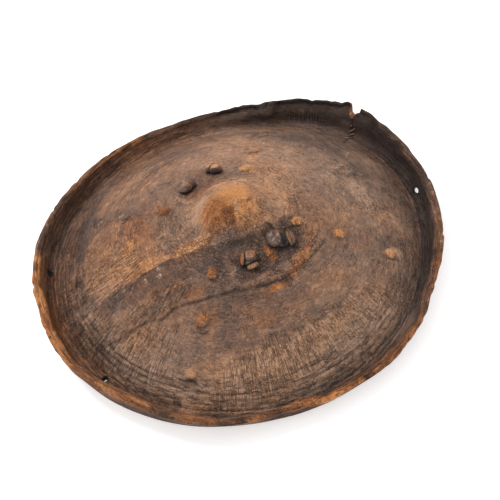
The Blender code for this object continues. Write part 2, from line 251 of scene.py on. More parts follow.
lip_turns = WALL_LEAN + np.linspace(math.pi, 0, 10)
lip = list(zip(RIM_RADIUS + LIP_RADIUS * np.cos(lip_turns), RIM_HEIGHT + LIP_RADIUS * np.sin(lip_turns)))
wall_shares = np.linspace(0, 1, 8)
stations += [(count_at(radius), radius, None, FACE) for radius in face_radii()]
stations += [(RIM_COUNT, *bend_point(FACE, turn), FACE) for turn in np.linspace(-DISH_SLOPE, WALL_TURN, 11)]
stations += straight_stations(RIM_COUNT, bend_point(FACE, WALL_TURN), lip[0], wall_shares[1:-1], FACE)
stations += [(RIM_COUNT, radius, height, 0.0) for radius, height in lip]
stations += straight_stations(RIM_COUNT, lip[-1], bend_point(BACK, WALL_TURN), wall_shares[1:3], BACK)
stations += straight_stations(RIM_COUNT // 2, lip[-1], bend_point(BACK, WALL_TURN), wall_shares[3:], BACK)
bend_turns = np.linspace(WALL_TURN, FLAT_TURN, 6)
stations += [(BACK_COUNT, *bend_point(BACK, turn), BACK) for turn in bend_turns[1:]]
stations.append((BACK_COUNT, bend_point(BACK, -FLAT_TURN)[0], 0.0, BACK))
stations.append((BACK_COUNT, *bend_point(BACK, -DISH_SLOPE), BACK))
for radius in np.linspace(float(bend_point(BACK, -DISH_SLOPE)[0]), 0.060, 22)[1:]:
    stations.append((BACK_COUNT, radius, None, BACK))
for radius in np.linspace(0.060, 0.004, 20)[1:]:
    stations.append((BACK_COUNT if radius > 0.03 else 80 if radius > 0.012 else 40, radius, None, BACK))
print(len(stations), "rings")

# %% Points of the plain form
angles, radii, heights, sides = [], [], [], []
for count, radius, height, side in stations:
    turns = math.tau * np.arange(count) / count
    angles.append(turns)
    radii.append(np.full(count, float(radius)))
    heights.append(dish_height(side, radius, turns) if height is None else np.full(count, float(height)))
    sides.append(np.full(count, side))
angles, radii, heights, sides = (np.concatenate(part) for part in (angles, radii, heights, sides))
tips = len(angles)     # the middle of the face comes last but one, and the middle of the back last
angles = np.append(angles, (0.0, 0.0))
radii = np.append(radii, (0.0, 0.0))
heights = np.append(heights, (dish_height(FACE, 0.0, 0.0), dish_height(BACK, 0.0, 0.0)))
sides = np.append(sides, (FACE, BACK))
print(len(angles), "points")

# %% Polygons of the plain form
starts = [sum(ring[0] for ring in stations[:number]) for number in range(len(stations))]
faces = []
for (count, *_), (after, *_), start, next_start in zip(stations, stations[1:], starts, starts[1:]):
    for step in range(min(count, after)):
        one, other = start + step, start + (step + 1) % count
        if count == after:
            faces.append((one, next_start + step, next_start + (step + 1) % after, other))
        elif count < after:
            low, mid, high = (next_start + (2 * step + extra) % after for extra in range(3))
            faces += [(one, low, mid), (one, mid, other), (other, mid, high)]
        else:
            low, mid, high = (start + (2 * step + extra) % count for extra in range(3))
            near, far = next_start + step, next_start + (step + 1) % after
            faces += [(low, near, mid), (mid, near, far), (mid, far, high)]
for step in range(stations[0][0]):
    faces.append((tips, step, (step + 1) % stations[0][0]))
for step in range(stations[-1][0]):
    faces.append((tips + 1, starts[-1] + (step + 1) % stations[-1][0], starts[-1] + step))
triangles = np.array([(face[0], face[step], face[step + 1])
                      for face in faces for step in range(1, len(face) - 1)])
print(len(faces), "polygons, or", len(triangles), "triangles")

# %% [markdown]
# ## Unevenness
#
# Dried hide is never even: it has broad swells, small lumps and ragged edges.
# Smooth random values on a lattice give such forms at any size. They could come from Blender's noise
# textures, but worked out here they move real points, and a fixed seed gives the same shield each time.

# %% Random lumps
def lumps(points, size, seed):
    """Smooth random values from -1 to 1, with one lump about every size metres."""
    table = np.random.default_rng(seed).uniform(-1, 1, (24, 24, 24))
    cells = np.asarray(points, float) / size
    low = np.floor(cells).astype(int)
    share = cells - low
    share = share * share * (3 - 2 * share)
    total = np.zeros(len(cells))
    for corner in product((0, 1), repeat=3):
        weight = np.prod(np.where(corner, share, 1 - share), axis=1)
        total += weight * table[tuple(((low + corner) % 24).T)]
    return total


def round_rim(angle, size, seed):
    """Random values along the rim, with one lump about every size metres."""
    return lumps(RIM_RADIUS * np.stack((np.cos(angle), np.sin(angle), 0 * angle), -1), size, seed)


print("lumps run from", lumps(np.random.default_rng(1).uniform(-1, 1, (500, 3)), 0.05, 1).min().round(2))

# %% [markdown]
# ## The lip
#
# The rim was trimmed with a knife and has been knocked about since, so the lip wanders in and out, varies
# in thickness and has nicks. The nicks are listed one by one, as an angle, a width and a depth.

# %% Nicks and trim, read from the real lip
NICKS = (     # degrees round the rim, width and depth in millimetres
    (160, 7, 2.6), (176, 5, 1.2), (203, 6, 1.5), (218, 10, 1.6), (262, 8, 1.2), (270, 5, 1.8),
    (279, 7, 1.5), (288, 5, 1.7), (297, 9, 1.4), (308, 6, 1.2), (325, 5, 1.3), (64, 9, 1.6), (57, 6, 1.2),
    (33, 8, 1.5), (27, 6, 1.2), (104, 6, 1), (118, 9, 1.2), (131, 5, 1.4), (238, 6, 1), (345, 6, 1.2),
)
TRIM = (     # how far the lip stands out from, or in from, the plain outline: degrees and millimetres
    (0, -0.8), (5, -0.6), (8, 1), (10, 0.6), (12, -2.2), (14, -1.2), (16, -0.6), (19, 0), (26, 0.8),
    (30, -0.2), (33, -1.2), (37, -0.3), (41, -1.4), (44, -2.6), (48, -1.3), (50, -2.3), (53, -0.8),
    (57, 0.2), (60, -1.6), (64, -0.4), (76, 1.2), (84, 0.4), (92, 2), (97, 0.4), (104, 0.8), (110, -0.9),
    (120, -2.4), (128, -2.2), (132, 0.3), (140, 0.2), (144, 1.6), (150, 1), (160, 1.4), (163, -0.6),
    (168, -3.3), (173, -1.2), (180, 0), (184, 0), (188, 1.6), (192, 1), (196, -0.3), (204, -2.4), (208, -4),
    (212, -3.4), (216, -2.4), (220, -0.4), (228, 3), (232, 3.2), (238, 2.6), (243, 0.2), (248, -2.4),
    (256, -3.8), (260, -0.9), (262, -0.3), (268, -1.6), (272, -0.5), (280, 1), (290, 1.6), (296, 1.6),
    (300, -0.4), (304, -2.8), (311, -1), (318, 0.3), (324, 1.6), (330, 0.8), (336, 0.4), (344, 0),
    (350, -1.6), (356, -3.4), (360, -0.8),
)
print(len(NICKS), "nicks, and", len(TRIM), "marks along the trimmed edge")

# %% Flatten the burnt lip, and trim it
around = np.degrees(angles) % 360
up_lip = np.where(radii > TROUGH_RADIUS, smooth(heights, RIM_HEIGHT * 0.55, RIM_HEIGHT), 0.0)
outward = (radii - RIM_RADIUS) / LIP_RADIUS
burnt = smooth(around, 9, 12) * (1 - smooth(around, 60, 70))
flat = burnt * np.where(radii > TROUGH_RADIUS, smooth(heights, RIM_HEIGHT - 0.010, RIM_HEIGHT), 0.0)
across_lip, over_lip = np.clip(outward, -1, 1), np.clip((heights - RIM_HEIGHT) / LIP_RADIUS, 0, 1)
corner = np.hypot(across_lip, over_lip) / np.maximum(np.maximum(abs(across_lip), over_lip), 1e-6)
squared = corner ** 0.8     # a round edge becomes a square one
stands_in = 1 - 0.6 * smooth(heights, RIM_HEIGHT - 0.012, RIM_HEIGHT + 0.003)
across_flat = 1 - (1 - (radii - RIM_RADIUS) / LIP_RADIUS * 0.85 * squared) * stands_in
radii = radii + flat * (RIM_RADIUS + LIP_RADIUS * across_flat - radii)
heights = np.where(heights > RIM_HEIGHT, heights + flat * (heights - RIM_HEIGHT) * (squared - 1), heights)
trim_turns, trims = np.array(TRIM).T
trim = np.interp(around, trim_turns, trims) / 1000
radii = radii + up_lip * trim
heights = heights + up_lip * trim * 0.7 * smooth(abs(around - 34), 60, 30)
print("the trim moves the lip by up to", abs(1000 * trim).max().round(1), "mm")

# %% Roughen the lip, and nick it
lip_swell = 0.18 * round_rim(angles, 0.045, 3) + 0.16 * round_rim(angles, 0.014, 4)
radii = radii + up_lip * (0.0004 * round_rim(angles, 0.030, 5) + 0.0006 * round_rim(angles, 0.013, 6))
radii = radii + up_lip * outward * LIP_RADIUS * lip_swell
heights = heights + up_lip * (0.0006 * round_rim(angles, 0.040, 7) + 0.0005 * round_rim(angles, 0.011, 8))
heights = heights - up_lip * burnt * 0.0009 * (0.5 + 0.5 * round_rim(angles, 0.0065, 9))
for degrees, width, depth in NICKS:
    away = RIM_RADIUS * abs((angles - math.radians(degrees) + math.pi) % math.tau - math.pi)
    dip = depth / 1000 * np.exp(-(away / (width / 2000)) ** 2)
    heights = heights - up_lip * dip
    radii = radii - up_lip * dip * 0.8 * np.clip(outward, 0, 1)
points = place(radii, heights, angles)
print("the lip's ragged top runs from", 1000 * points[up_lip > 0.9, 2].min().round(4), "mm")


# %% Which way the plain form faces
def directions(corners, polygons):
    """Unit normals at the points of a mesh of triangles."""
    first, second, third = (corners[polygons[:, side]] for side in range(3))
    flat = np.cross(second - first, third - first)
    total = np.zeros_like(corners)
    for side in range(3):
        np.add.at(total, polygons[:, side], flat)
    return total / np.maximum(np.linalg.norm(total, axis=1, keepdims=True), 1e-12)


normals = directions(points, triangles)
print(int((normals[:, 2] > 0).sum()), "points face up")

# %% [markdown]
# ## Drawing on the hide
#
# Every crease, crack and stain below is placed one by one, in millimetres from the middle of the boss, as
# on a drawing seen from above. Two tools do all of it: one measures how far each point lies from a drawn
# line, and one makes a soft-edged oval patch.

# %% Lines and patches
plan = 1000 * points[:, :2]
on_face = np.where(sides == FACE, 1.0, 0.0)


def from_line(spots, line):
    """(distance, side, share along) of every spot from a drawn line. Side is positive to its left."""
    line = np.array(line, float)
    best = np.full(len(spots), 1e9)
    side = np.zeros(len(spots))
    along = np.zeros(len(spots))
    lengths = np.linalg.norm(np.diff(line, axis=0), axis=1)
    run = 0.0
    for first, second, length in zip(line, line[1:], lengths):
        step = (second - first) / length
        offset = spots - first
        share = np.clip(offset @ step, 0, length)
        away = offset - share[:, None] * step
        distance = np.linalg.norm(away, axis=1)
        nearer = distance < best
        best = np.where(nearer, distance, best)
        side = np.where(nearer, np.sign(step[0] * offset[:, 1] - step[1] * offset[:, 0]), side)
        along = np.where(nearer, (run + share) / lengths.sum(), along)
        run += length
    return best, side, along


def stroke(spots, line, width, soft=0.6):
    """A drawn line of this width, thinner towards its ends."""
    distance, _, along = from_line(spots, line)
    taper = np.clip(np.minimum(along, 1 - along) * 6, 0.25, 1)
    return 1 - smooth(distance / (width / 2 * taper), 1 - soft, 1 + soft)


def patch(spots, x, y, long, wide, turn=0, soft=0.5):
    """An oval patch with half lengths long and wide: 1 inside and 0 outside, with a soft edge."""
    turn = math.radians(turn)
    u = (spots[:, 0] - x) * math.cos(turn) + (spots[:, 1] - y) * math.sin(turn)
    v = (spots[:, 1] - y) * math.cos(turn) - (spots[:, 0] - x) * math.sin(turn)
    return 1 - smooth(np.hypot(u / long, v / wide), 1 - soft, 1 + soft)


def unit(lines):
    """Directions of length 1."""
    return lines / np.linalg.norm(lines, axis=-1, keepdims=True)


def arc(radius, start, stop, steps=24, wander=0.0, seed=0):
    """Points of a drawn arc round the boss, between two angles in degrees."""
    turns = np.radians(np.linspace(start, stop, steps))
    drift = wander * np.random.default_rng(seed).uniform(-1, 1, steps)
    return np.stack(((radius + drift) * np.cos(turns), (radius + drift) * np.sin(turns)), -1)


print("the drawing covers", plan.min(0).round(), "to", plan.max(0).round(), "mm")

# %% [markdown]
# ## Bumps
#
# Twelve blunt bumps were pushed out of the hide in four rows between the boss and the trough.
# Each is a rounded pad, lifted straight out of the face. They repeat the solid's own places and sizes.

# %% Twelve bumps
BUMP_ARMS = (
    (46.5, (0.18, 0.46, 0.79)),
    (135.0, (0.21, 0.52, 0.74)),
    (222.5, (0.21, 0.51, 0.82)),
    (316.5, (0.17, 0.45, 0.81)),
)
BUMP_LENGTH, BUMP_WIDTH, BUMP_HEIGHT = 0.0140, 0.0125, 0.0032
# shares of a bump's half size and of its height, from its middle outwards
BUMP_SLOPE = ((0, 1), (0.45, 0.93), (0.75, 0.66), (1.0, 0.26), (1.2, 0.07), (1.5, 0))


def face_frame(radius, angle):
    """(point, outward normal) of the face inside the trough."""
    step = HIDE / 10
    spot = place(radius, dish_height(FACE, radius, angle), angle)
    outer = place(radius + step, dish_height(FACE, radius + step, angle), angle)
    beside = place(radius, dish_height(FACE, radius, angle + step), angle + step)
    return spot, unit(np.cross(outer - spot, beside - spot))


relief = np.zeros(len(points))
bump_spots = []
for degrees, shares in BUMP_ARMS:
    angle = math.radians(degrees)
    for share in shares:
        reach = BOSS_RADIUS + (float(bend_point(FACE, -DISH_SLOPE)[0]) - BOSS_RADIUS) * share
        spot, up = face_frame(reach, angle)
        bump_spots.append(1000 * spot[:2])
        wide = unit(np.cross(up, (math.cos(angle), math.sin(angle), 0)))
        long = np.cross(wide, up)
        offset = points - spot
        forward, sideways = offset @ long / (BUMP_LENGTH / 2), offset @ wide / (BUMP_WIDTH / 2)
        across = (abs(forward) ** 3 + abs(sideways) ** 3) ** (1 / 3)
        relief += on_face * BUMP_HEIGHT * np.interp(across, *zip(*BUMP_SLOPE))
print("bumps at", [tuple(int(value) for value in spot) for spot in bump_spots])

# %% [markdown]
# ## Creases, ridges and swells
#
# The hide has one long crease that runs across the lower half, rings pressed round the boss, puckers
# where the straps pull at it, and fine turned lines near the trough. A crease could be a dark line in the
# colour alone, but light catches a real one, so each of them moves the mesh here and is coloured later.

# %% The long crease
LONG_CREASE = (
    (-212, -31), (-196, -36), (-183, -42), (-165, -45), (-150, -49), (-141, -54), (-137, -60), (-118, -60),
    (-105, -65), (-92, -72), (-78, -77), (-60, -85), (-40, -94), (-22, -101), (-4, -105), (16, -104),
    (36, -100), (54, -95), (70, -87), (82, -78),
)
crease_distance, crease_side, crease_along = from_line(plan, LONG_CREASE)
crease_fade = 1 - smooth(crease_along, 0.85, 1.0)
relief -= on_face * 0.0009 * crease_fade * np.exp(-(crease_distance / 2.0) ** 2)
above, below = np.exp(-crease_distance / 9), -0.4 * np.exp(-crease_distance / 14)
relief += on_face * 0.0010 * crease_fade * np.where(crease_side > 0, above, below)
print("the long crease has", len(LONG_CREASE), "points")

# %% Swells and lumps all over
for where, height, size, seed in ((on_face, 0.0008, 0.055, 11), (on_face, 0.00045, 0.021, 12),
                                  (on_face, 0.00022, 0.0085, 13), (1 - on_face, 0.0005, 0.060, 14),
                                  (1 - on_face, 0.0003, 0.022, 15)):
    relief += where * height * lumps(points, size, seed)
print("relief up to", 1000 * relief.max().round(5), "mm")

# %% The wall, with one place that stands proud
along_rim = np.stack((1000 * RIM_RADIUS * angles, 1000 * heights), -1)
on_wall = np.where((radii > WALL_FROM) & (radii < RIM_RADIUS) & (sides != BACK), 1.0, 0.0)
relief += on_wall * 0.0040 * patch(along_rim, 1000 * RIM_RADIUS * math.radians(47.5), 24, 11, 9, 0, 0.3)
relief -= on_wall * 0.0020 * stroke(along_rim, ((185, 8), (187, 20), (186, 32)), 5, 0.8)
relief += on_wall * 0.0006 * lumps(points, 0.012, 19)
print(int(on_wall.sum()), "points on the wall")

# %% The boss: it runs out softly, with a hollow and a fold on its near side, and pebbled skin
boss_foot = BOSS_RADIUS * (1 + BOSS_SPREAD * (1 + np.cos(angles - BOSS_SPREAD_AT)) / 2)
soft_foot = 0.35 + 0.65 * (0.5 + 0.5 * np.cos(angles - math.radians(35)))
relief += on_face * 0.0021 * soft_foot * np.exp(-((radii - boss_foot - 0.001) / 0.0068) ** 2)
relief -= on_face * 0.0012 * soft_foot * np.exp(-((radii - boss_foot + 0.013) / 0.0070) ** 2)
relief -= on_face * 0.0018 * patch(plan, -14, -15, 10, 7, 45, 0.8)
relief += on_face * 0.0016 * stroke(plan, ((-16, -28), (-7, -20), (0, -15), (6, -9)), 5.5, 0.9)
from_boss = np.hypot(*plan.T)
relief += on_face * 0.00035 * lumps(points, 0.0042, 16) * (1 - smooth(from_boss, 38, 50))
relief -= on_face * 0.0011 * (1 - smooth(from_boss, 8, 30))     # the worn top stays inside the solid's box
print("the boss's foot is", 1000 * boss_foot.min().round(4), "to", 1000 * boss_foot.max().round(4), "mm out")

# %% Rings pressed round the boss, and lines turned into the hide near the trough
PRESSED_RINGS = (     # radius, start and end in degrees, and depth, in millimetres
    (66, 118, 205, 0.5), (72, 122, 200, 0.45), (79, 128, 175, 0.3), (58, 60, 112, 0.3), (56, -45, 30, 0.3),
    (108, 262, 300, 0.5), (112, 225, 262, 0.3),
)
for radius, start, stop, depth in PRESSED_RINGS:
    line = arc(radius, start, stop, wander=0.8, seed=int(radius))
    relief -= on_face * depth / 1000 * stroke(plan, line, 3.4, 0.9)


LINE_PITCH = 5.2     # of the turned lines, in millimetres, which are strongest on the left and at the bottom


def turned_lines(corners):
    """A wave from -1 to 1 across the lines that were turned into the hide, and how strong they are there."""
    out, about = np.hypot(*corners.T[:2]), np.degrees(np.arctan2(corners[:, 1], corners[:, 0])) % 360
    strength = np.exp(-((about - 180) / 42) ** 2) + 0.8 * np.exp(-((about - 255) / 34) ** 2) + 0.35
    fade = smooth(out, 0.190, 0.205) * (1 - smooth(out, 0.236, 0.242))
    drift = 2.2 * lumps(corners, 0.06, 17) + 1.3 * np.sin(np.radians(about) * 2)
    return np.sin(1000 * out * math.tau / LINE_PITCH + drift), fade * np.clip(strength, 0, 1)


turned, how_strong = turned_lines(points)
relief += 0.00034 * on_face * how_strong * turned
print(int((how_strong > 0.5).sum()), "points with strong turned lines")

# %% Puckers and folds where the straps pull the hide in
PUCKERS = (     # x, y, how many, depth, and where they begin to fade and end
    (26, -66, 9, 0.7, 15, 30), (-21, -68, 7, 0.35, 13, 22), (-19, 73, 6, 0.3, 14, 22),
    (23, 79, 6, 0.3, 12, 20),
)
for x, y, folds, depth, near, far in PUCKERS:
    away = np.hypot(plan[:, 0] - x, plan[:, 1] - y)
    turn = np.arctan2(plan[:, 1] - y, plan[:, 0] - x)
    fade = (1 - smooth(away, near, far)) * on_face
    relief += depth / 1000 * fade * np.sin(folds * turn + 2 * lumps(points, 0.02, 18))
    relief -= 0.0010 * fade
FOLDS = (     # small folds where the straps pinch the hide: height, width, line
    (1.1, 3.6, ((11, -47), (17, -44), (23, -42))), (1.1, 3.4, ((23, -42), (27, -46), (29, -52))),
    (-1.2, 3, ((25, -44), (20, -47), (16, -52))), (1.2, 4, ((49, -49), (42, -52), (35, -55))),
    (-1.3, 3.6, ((52, -55), (44, -58), (37, -60))), (0.8, 4, ((56, -58), (48, -62), (40, -65))),
    (-1, 3, ((-36, -54), (-33, -63), (-28, -72))), (0.7, 3.6, ((-41, -56), (-38, -65), (-33, -75))),
    (0.9, 4, ((6, -66), (7, -76), (9, -86))), (-0.8, 3, ((16, -74), (18, -82), (24, -90))),
)
for rise, width, line in FOLDS:
    relief += on_face * rise / 1000 * stroke(plan, line, width, 0.8)
print("relief from", 1000 * relief.min().round(5), "to", 1000 * relief.max().round(5), "mm")

# %% Move the points, inside the solid's box
points = points + normals * relief[:, None]
low, high = (np.array(corner) + MIDDLE for corner in cad_box)
points = np.clip(points, low, high)
print("the fine form is", 1000 * np.ptp(points, axis=0).round(4), "mm")

# %% [markdown]
# ## The hide as one piece
#
# The points become one closed mesh. The holes for the straps and the thong, the gap in the rim and the
# split below it are cut out of it with hidden tool shapes, just as they were punched and torn in the
# real hide. Cutting is exact, so it keeps the mesh closed.

# %% Mesh helpers
def add_mesh(name, corners, polygons, smooth_shade=True):
    """An object from points seen from the boss and polygons."""
    mesh = bpy.data.meshes.new(name)
    polygons = [tuple(int(corner) for corner in polygon) for polygon in polygons]
    mesh.from_pydata((np.asarray(corners) - MIDDLE).tolist(), [], polygons)
    if smooth_shade:
        mesh.shade_smooth()
    item = bpy.data.objects.new(name, mesh)
    bpy.context.scene.collection.objects.link(item)
    return item


def apply(item, kind, **settings):
    """Add a modifier to an object and apply it."""
    change = item.modifiers.new(kind.lower(), kind)
    for name, value in settings.items():
        setattr(change, name, value)
    with bpy.context.temp_override(object=item):
        bpy.ops.object.modifier_apply(modifier=change.name)


def combine(item, other, operation):
    """Join another object to this one or cut it out, and drop the other."""
    apply(item, "BOOLEAN", operation=operation, solver="EXACT", object=other)
    bpy.data.objects.remove(other)


def face_outward(item):
    """Turn the faces of a closed object to the outside."""
    solid = bmesh.new()
    solid.from_mesh(item.data)
    bmesh.ops.recalc_face_normals(solid, faces=solid.faces)
    solid.to_mesh(item.data)
    solid.free()


def cut(item, name, shape):
    """Cut a tool shape out of an object."""
    tool = add_mesh(name, *shape, smooth_shade=False)
    face_outward(tool)
    combine(item, tool, "DIFFERENCE")


hide = add_mesh("hide_body", points, faces)
print("hide_body:", len(hide.data.polygons), "polygons")


# %% Shapes: several as one, through rings, and round a path
def join(parts):
    """Points and polygons of several meshes as one."""
    corners, polygons, start = [], [], 0
    for some, shapes in parts:
        corners.append(np.asarray(some))
        polygons += [tuple(corner + start for corner in shape) for shape in shapes]
        start += len(some)
    return np.concatenate(corners), polygons


def loft(rings, tips):
    """Points and polygons of a closed shape through rings of equally many points, with a tip at each end."""
    rings = np.asarray(rings, float)
    rows, count = rings.shape[:2]
    corners = np.concatenate((rings.reshape(-1, 3), np.asarray(tips, float)))
    shapes = []
    for step in range(count):
        after = (step + 1) % count
        shapes.append((rows * count, after, step))
        for row in range(rows - 1):
            start = row * count
            shapes.append((start + step, start + after, start + count + after, start + count + step))
        shapes.append((rows * count + 1, (rows - 1) * count + step, (rows - 1) * count + after))
    return corners, shapes


def tube(path, across, radius, count):
    """A round tube along a path, with one direction across it that the path never follows."""
    path = np.asarray(path, float)
    radius = np.broadcast_to(radius, len(path))
    along = np.empty_like(path)
    along[1:-1] = path[2:] - path[:-2]
    along[0], along[-1] = path[1] - path[0], path[-1] - path[-2]
    side = unit(np.cross(along, across))
    lift = unit(np.cross(side, along))
    turns = math.tau * np.arange(count) / count
    rings = [spot + size * (np.outer(np.cos(turns), u) + np.outer(np.sin(turns), v))
             for spot, size, u, v in zip(path, radius, side, lift)]
    return loft(rings, (path[0], path[-1]))


print("a short tube has", len(tube([(0, 0, 0), (0, 0, HIDE)], (1, 0, 0), HIDE, 8)[1]), "polygons")

# %% Measures of the holes, the gap and the stitches
STRAPS = {
    "left": ((105.0, 0.0265), (253.0, 0.0235)),
    "right": ((74.5, 0.0340), (290.0, 0.0220)),
}
NECK_RADIUS, STRAP_CLEARANCE = 0.0048, 0.0008
RIM_HOLES = (     # degrees round the rim, slope, swing, diameter, and its share left at the back
    (-13.0, 50, 48, 0.0080, 0.6), (152.0, 60, 0, 0.0075, 0.9), (196.0, -5, 0, 0.0065, 0.4),
)
GAP_AT, GAP_WIDTH, GAP_DEPTH = math.radians(18.5), 0.0152, 0.0160
SPLIT_WIDTH = 0.0009
STITCHES, STITCH_PITCH, STITCH_LENGTH, STITCH_SLANT, STITCH_DEPTH = 4, 0.0050, 0.0085, -0.60, 0.0032
THONG_RADIUS, THONG_CLEARANCE, THONG_PROUD = 0.0012, 0.0004, 0.6
STITCH_START = math.radians(-20)
print(2 * len(STRAPS), "strap holes,", len(RIM_HOLES), "rim holes and", STITCHES, "stitches")


# %% Where the straps and the stitches run
def strap_end(end):
    """(point, normal) of the face in the middle of a strap's hole."""
    return face_frame(BOSS_RADIUS + end[1], math.radians(end[0]))


def strap_across(ends):
    """Level direction across a strap, square to the line between its holes."""
    line = strap_end(ends[1])[0] - strap_end(ends[0])[0]
    return np.array((-line[1], line[0], 0)) / math.hypot(line[0], line[1])


def stitch_point(run, lift):
    """(radius, height) this far from the first stitch, round the bend and up the wall, and off the face."""
    turn = STITCH_START + run / (TROUGH_BEND + FACE)
    straight = np.maximum(turn - WALL_TURN, 0.0) * (TROUGH_BEND + FACE)
    radius, height = bend_point(FACE - lift, np.minimum(turn, WALL_TURN))
    return radius + straight * math.cos(WALL_TURN), height + straight * math.sin(WALL_TURN)


def thong_path(steps):
    """The thong's middle: a coil along the split, with its lower half inside the hide."""
    turns = -0.25 + (STITCHES - 0.5) * np.linspace(0, 1, STITCHES * steps + 1)
    high = THONG_RADIUS * THONG_PROUD
    across = STITCH_LENGTH / 2 * np.cos(math.tau * turns)
    lift = (high - STITCH_DEPTH) / 2 + (high + STITCH_DEPTH) / 2 * np.sin(math.tau * turns)
    run = STITCH_PITCH * (turns + 0.5) + across * STITCH_SLANT
    return place(*stitch_point(run, lift), GAP_AT + across / TROUGH_RADIUS)


thong_steps = np.linalg.norm(np.diff(thong_path(26), axis=0), axis=1)
print("the thong's path is", round(1000 * thong_steps.sum()), "mm long")

# %% Tool shapes for the holes
hole_tools = []
for ends in STRAPS.values():
    for end in ends:
        spot, up = strap_end(end)
        hole_tools.append(tube([spot + up * HIDE, spot - up * HIDE * 2], strap_across(ends),
                               NECK_RADIUS + STRAP_CLEARANCE, 20))
hole_lines = []     # a point, a direction and a radius for each rim hole
for degrees, turn_degrees, swing_degrees, diameter, narrows in RIM_HOLES:
    angle, turn, swing = (math.radians(value) for value in (degrees, turn_degrees, swing_degrees))
    spot = place(*bend_point(0, turn), angle)
    level = np.array((math.cos(angle + swing), math.sin(angle + swing), 0))
    out = level * math.sin(turn) - np.array((0, 0, math.cos(turn)))
    hole_lines.append((spot, out, diameter / 2))
    through = [spot - out * HIDE * 1.5, spot, spot + out * HIDE * 1.5]
    hole_tools.append(tube(through, (0, 0, 1), diameter / 2 * np.array((1.0, 1.0, narrows)), 18))
print(len(hole_tools), "holes")


# %% Tool shapes for the gap, the split and the thong's channel
def rim_prism(outline, inner, outer, angle=GAP_AT):
    """A tool through the rim, its outline given as (along the rim, height)."""
    out = np.array((math.cos(angle), math.sin(angle), 0))
    beside = np.array((-math.sin(angle), math.cos(angle), 0))
    rings = [[out * radius + beside * step + np.array((0, 0, height)) for step, height in outline]
             for radius in (inner, outer)]
    return loft(rings, [np.mean(ring, axis=0) for ring in rings])


def longer(path, extra):
    """A path that runs on by this at both ends."""
    path = path.copy()
    for end, beside in ((0, 1), (-1, -2)):
        path[end] += unit(path[end] - path[beside]) * extra
    return path


low = RIM_HEIGHT + LIP_RADIUS + float(rim_rise(GAP_AT)) - GAP_DEPTH
RAGGED = (
    (-0.54, 1.4), (-0.5, 1), (-0.46, 0.82), (-0.43, 0.62), (-0.38, 0.43), (-0.3, 0.4), (-0.24, 0.28),
    (-0.16, 0.31), (-0.09, 0.22), (-0.03, 0.24), (0.04, 0.1), (0.09, 0.11), (0.13, 0), (0.17, 0.02),
    (0.22, 0.12), (0.28, 0.1), (0.31, 0.2), (0.4, 0.23), (0.38, 0.36), (0.44, 0.44), (0.43, 0.6),
    (0.48, 0.72), (0.46, 0.86), (0.51, 1), (0.53, 1.4),
)
gap = [(GAP_WIDTH * across, low + GAP_DEPTH * up) for across, up in RAGGED]
half, top = SPLIT_WIDTH / 2, low + GAP_DEPTH / 2
split_from = np.hypot(*place(*bend_point(FACE, STITCH_START), GAP_AT)[:2]) - STITCH_PITCH / 2
past_rim = np.hypot(*place(RIM_RADIUS + LIP_RADIUS, RIM_HEIGHT, GAP_AT)[:2]) + HIDE
split = ((-half, -HIDE), (half, -HIDE), (half, top), (-half, top))
stitch_ends = [place(*stitch_point(run, 0.0), GAP_AT) for run in (0.0, STITCHES * STITCH_PITCH)]
stitch_line = stitch_ends[1] - stitch_ends[0]
channel = tube(longer(thong_path(10), THONG_CLEARANCE), stitch_line, THONG_RADIUS + THONG_CLEARANCE, 8)
print("the gap is", 1000 * GAP_WIDTH, "mm wide and", 1000 * GAP_DEPTH, "mm deep")

# %% Tool shapes for the slits
SLITS = (     # upright slits in the far wall: degrees, foot and top in millimetres up the wall
    (40.3, 12, 19), (39.5, 11, 17), (38.6, 13, 20), (37.9, 11, 18), (37, 12, 17), (36.1, 12, 20),
    (35, 11, 18), (34.1, 13, 20), (33.3, 12, 19), (32.3, 12, 21), (31.4, 14, 20), (30.5, 13, 19),
)
SLIT_WIDTH, SLIT_DEPTH, SLIT_PROUD = 0.0011, 0.0018, 0.002
wall_foot = bend_point(FACE, WALL_TURN)
slit_tools = []
for degrees, foot, top in SLITS:
    rings = []
    for share, width in ((0.0, 0.15), (0.3, 1.0), (0.7, 1.0), (1.0, 0.15)):
        height = (foot + (top - foot) * share) / 1000
        wall = wall_foot[0] + (height - wall_foot[1]) / math.tan(WALL_TURN)
        lean = math.radians(degrees + 0.25 * math.sin(7 * degrees) * (share - 0.5))
        corners = (-SLIT_PROUD, -1.6), (-SLIT_PROUD, 1.6), (SLIT_DEPTH, 0.3), (SLIT_DEPTH, -0.3)
        rings.append([place(wall + depth, height, lean + side * width * SLIT_WIDTH / 2 / RIM_RADIUS)
                      for depth, side in corners])
    slit_tools.append(loft(rings, [np.mean(rings[0], axis=0), np.mean(rings[-1], axis=0)]))
print(len(slit_tools), "slits")

# %% Cut them all out of the hide
cut(hide, "slit_tools", join(slit_tools))
cut(hide, "hole_tools", join(hole_tools))
cut(hide, "gap_tool", rim_prism(gap, TROUGH_RADIUS, past_rim))
cut(hide, "split_tool", rim_prism(split, split_from, past_rim))
cut(hide, "channel_tool", channel)
print("hide_body after cutting:", len(hide.data.polygons), "polygons")

# %% [markdown]
# ## Colour by hand
# ## Painted colour
# The colour of old hide is a record of wear: bare and rubbed places are light tan or orange, greasy and
# burnt places are grey to black. Part of the colour also stands in for light: painted shade and painted
# highlights. Such values are painted at every point of the mesh: tone, from dark to light, warm, from grey
# to orange, soot and shade, for soot and painted shade, and pale, for scuffs, dust and painted highlights
# and glints. Three more say where the hide shows rings, rays and crazing.
# A picture could be laid over the hide instead, but painted values keep each mark editable, and they
# follow the shape on every side.

# %% Read a mesh
def spots_of(item):
    """The points of a mesh, seen from the boss, in metres."""
    flat = np.empty(3 * len(item.data.vertices))
    item.data.vertices.foreach_get("co", flat)
    return flat.reshape(-1, 3) + MIDDLE


def normals_of(item):
    """The normals at the points of a mesh."""
    flat = np.empty(3 * len(item.data.vertices))
    item.data.vertex_normals.foreach_get("vector", flat)
    return flat.reshape(-1, 3)


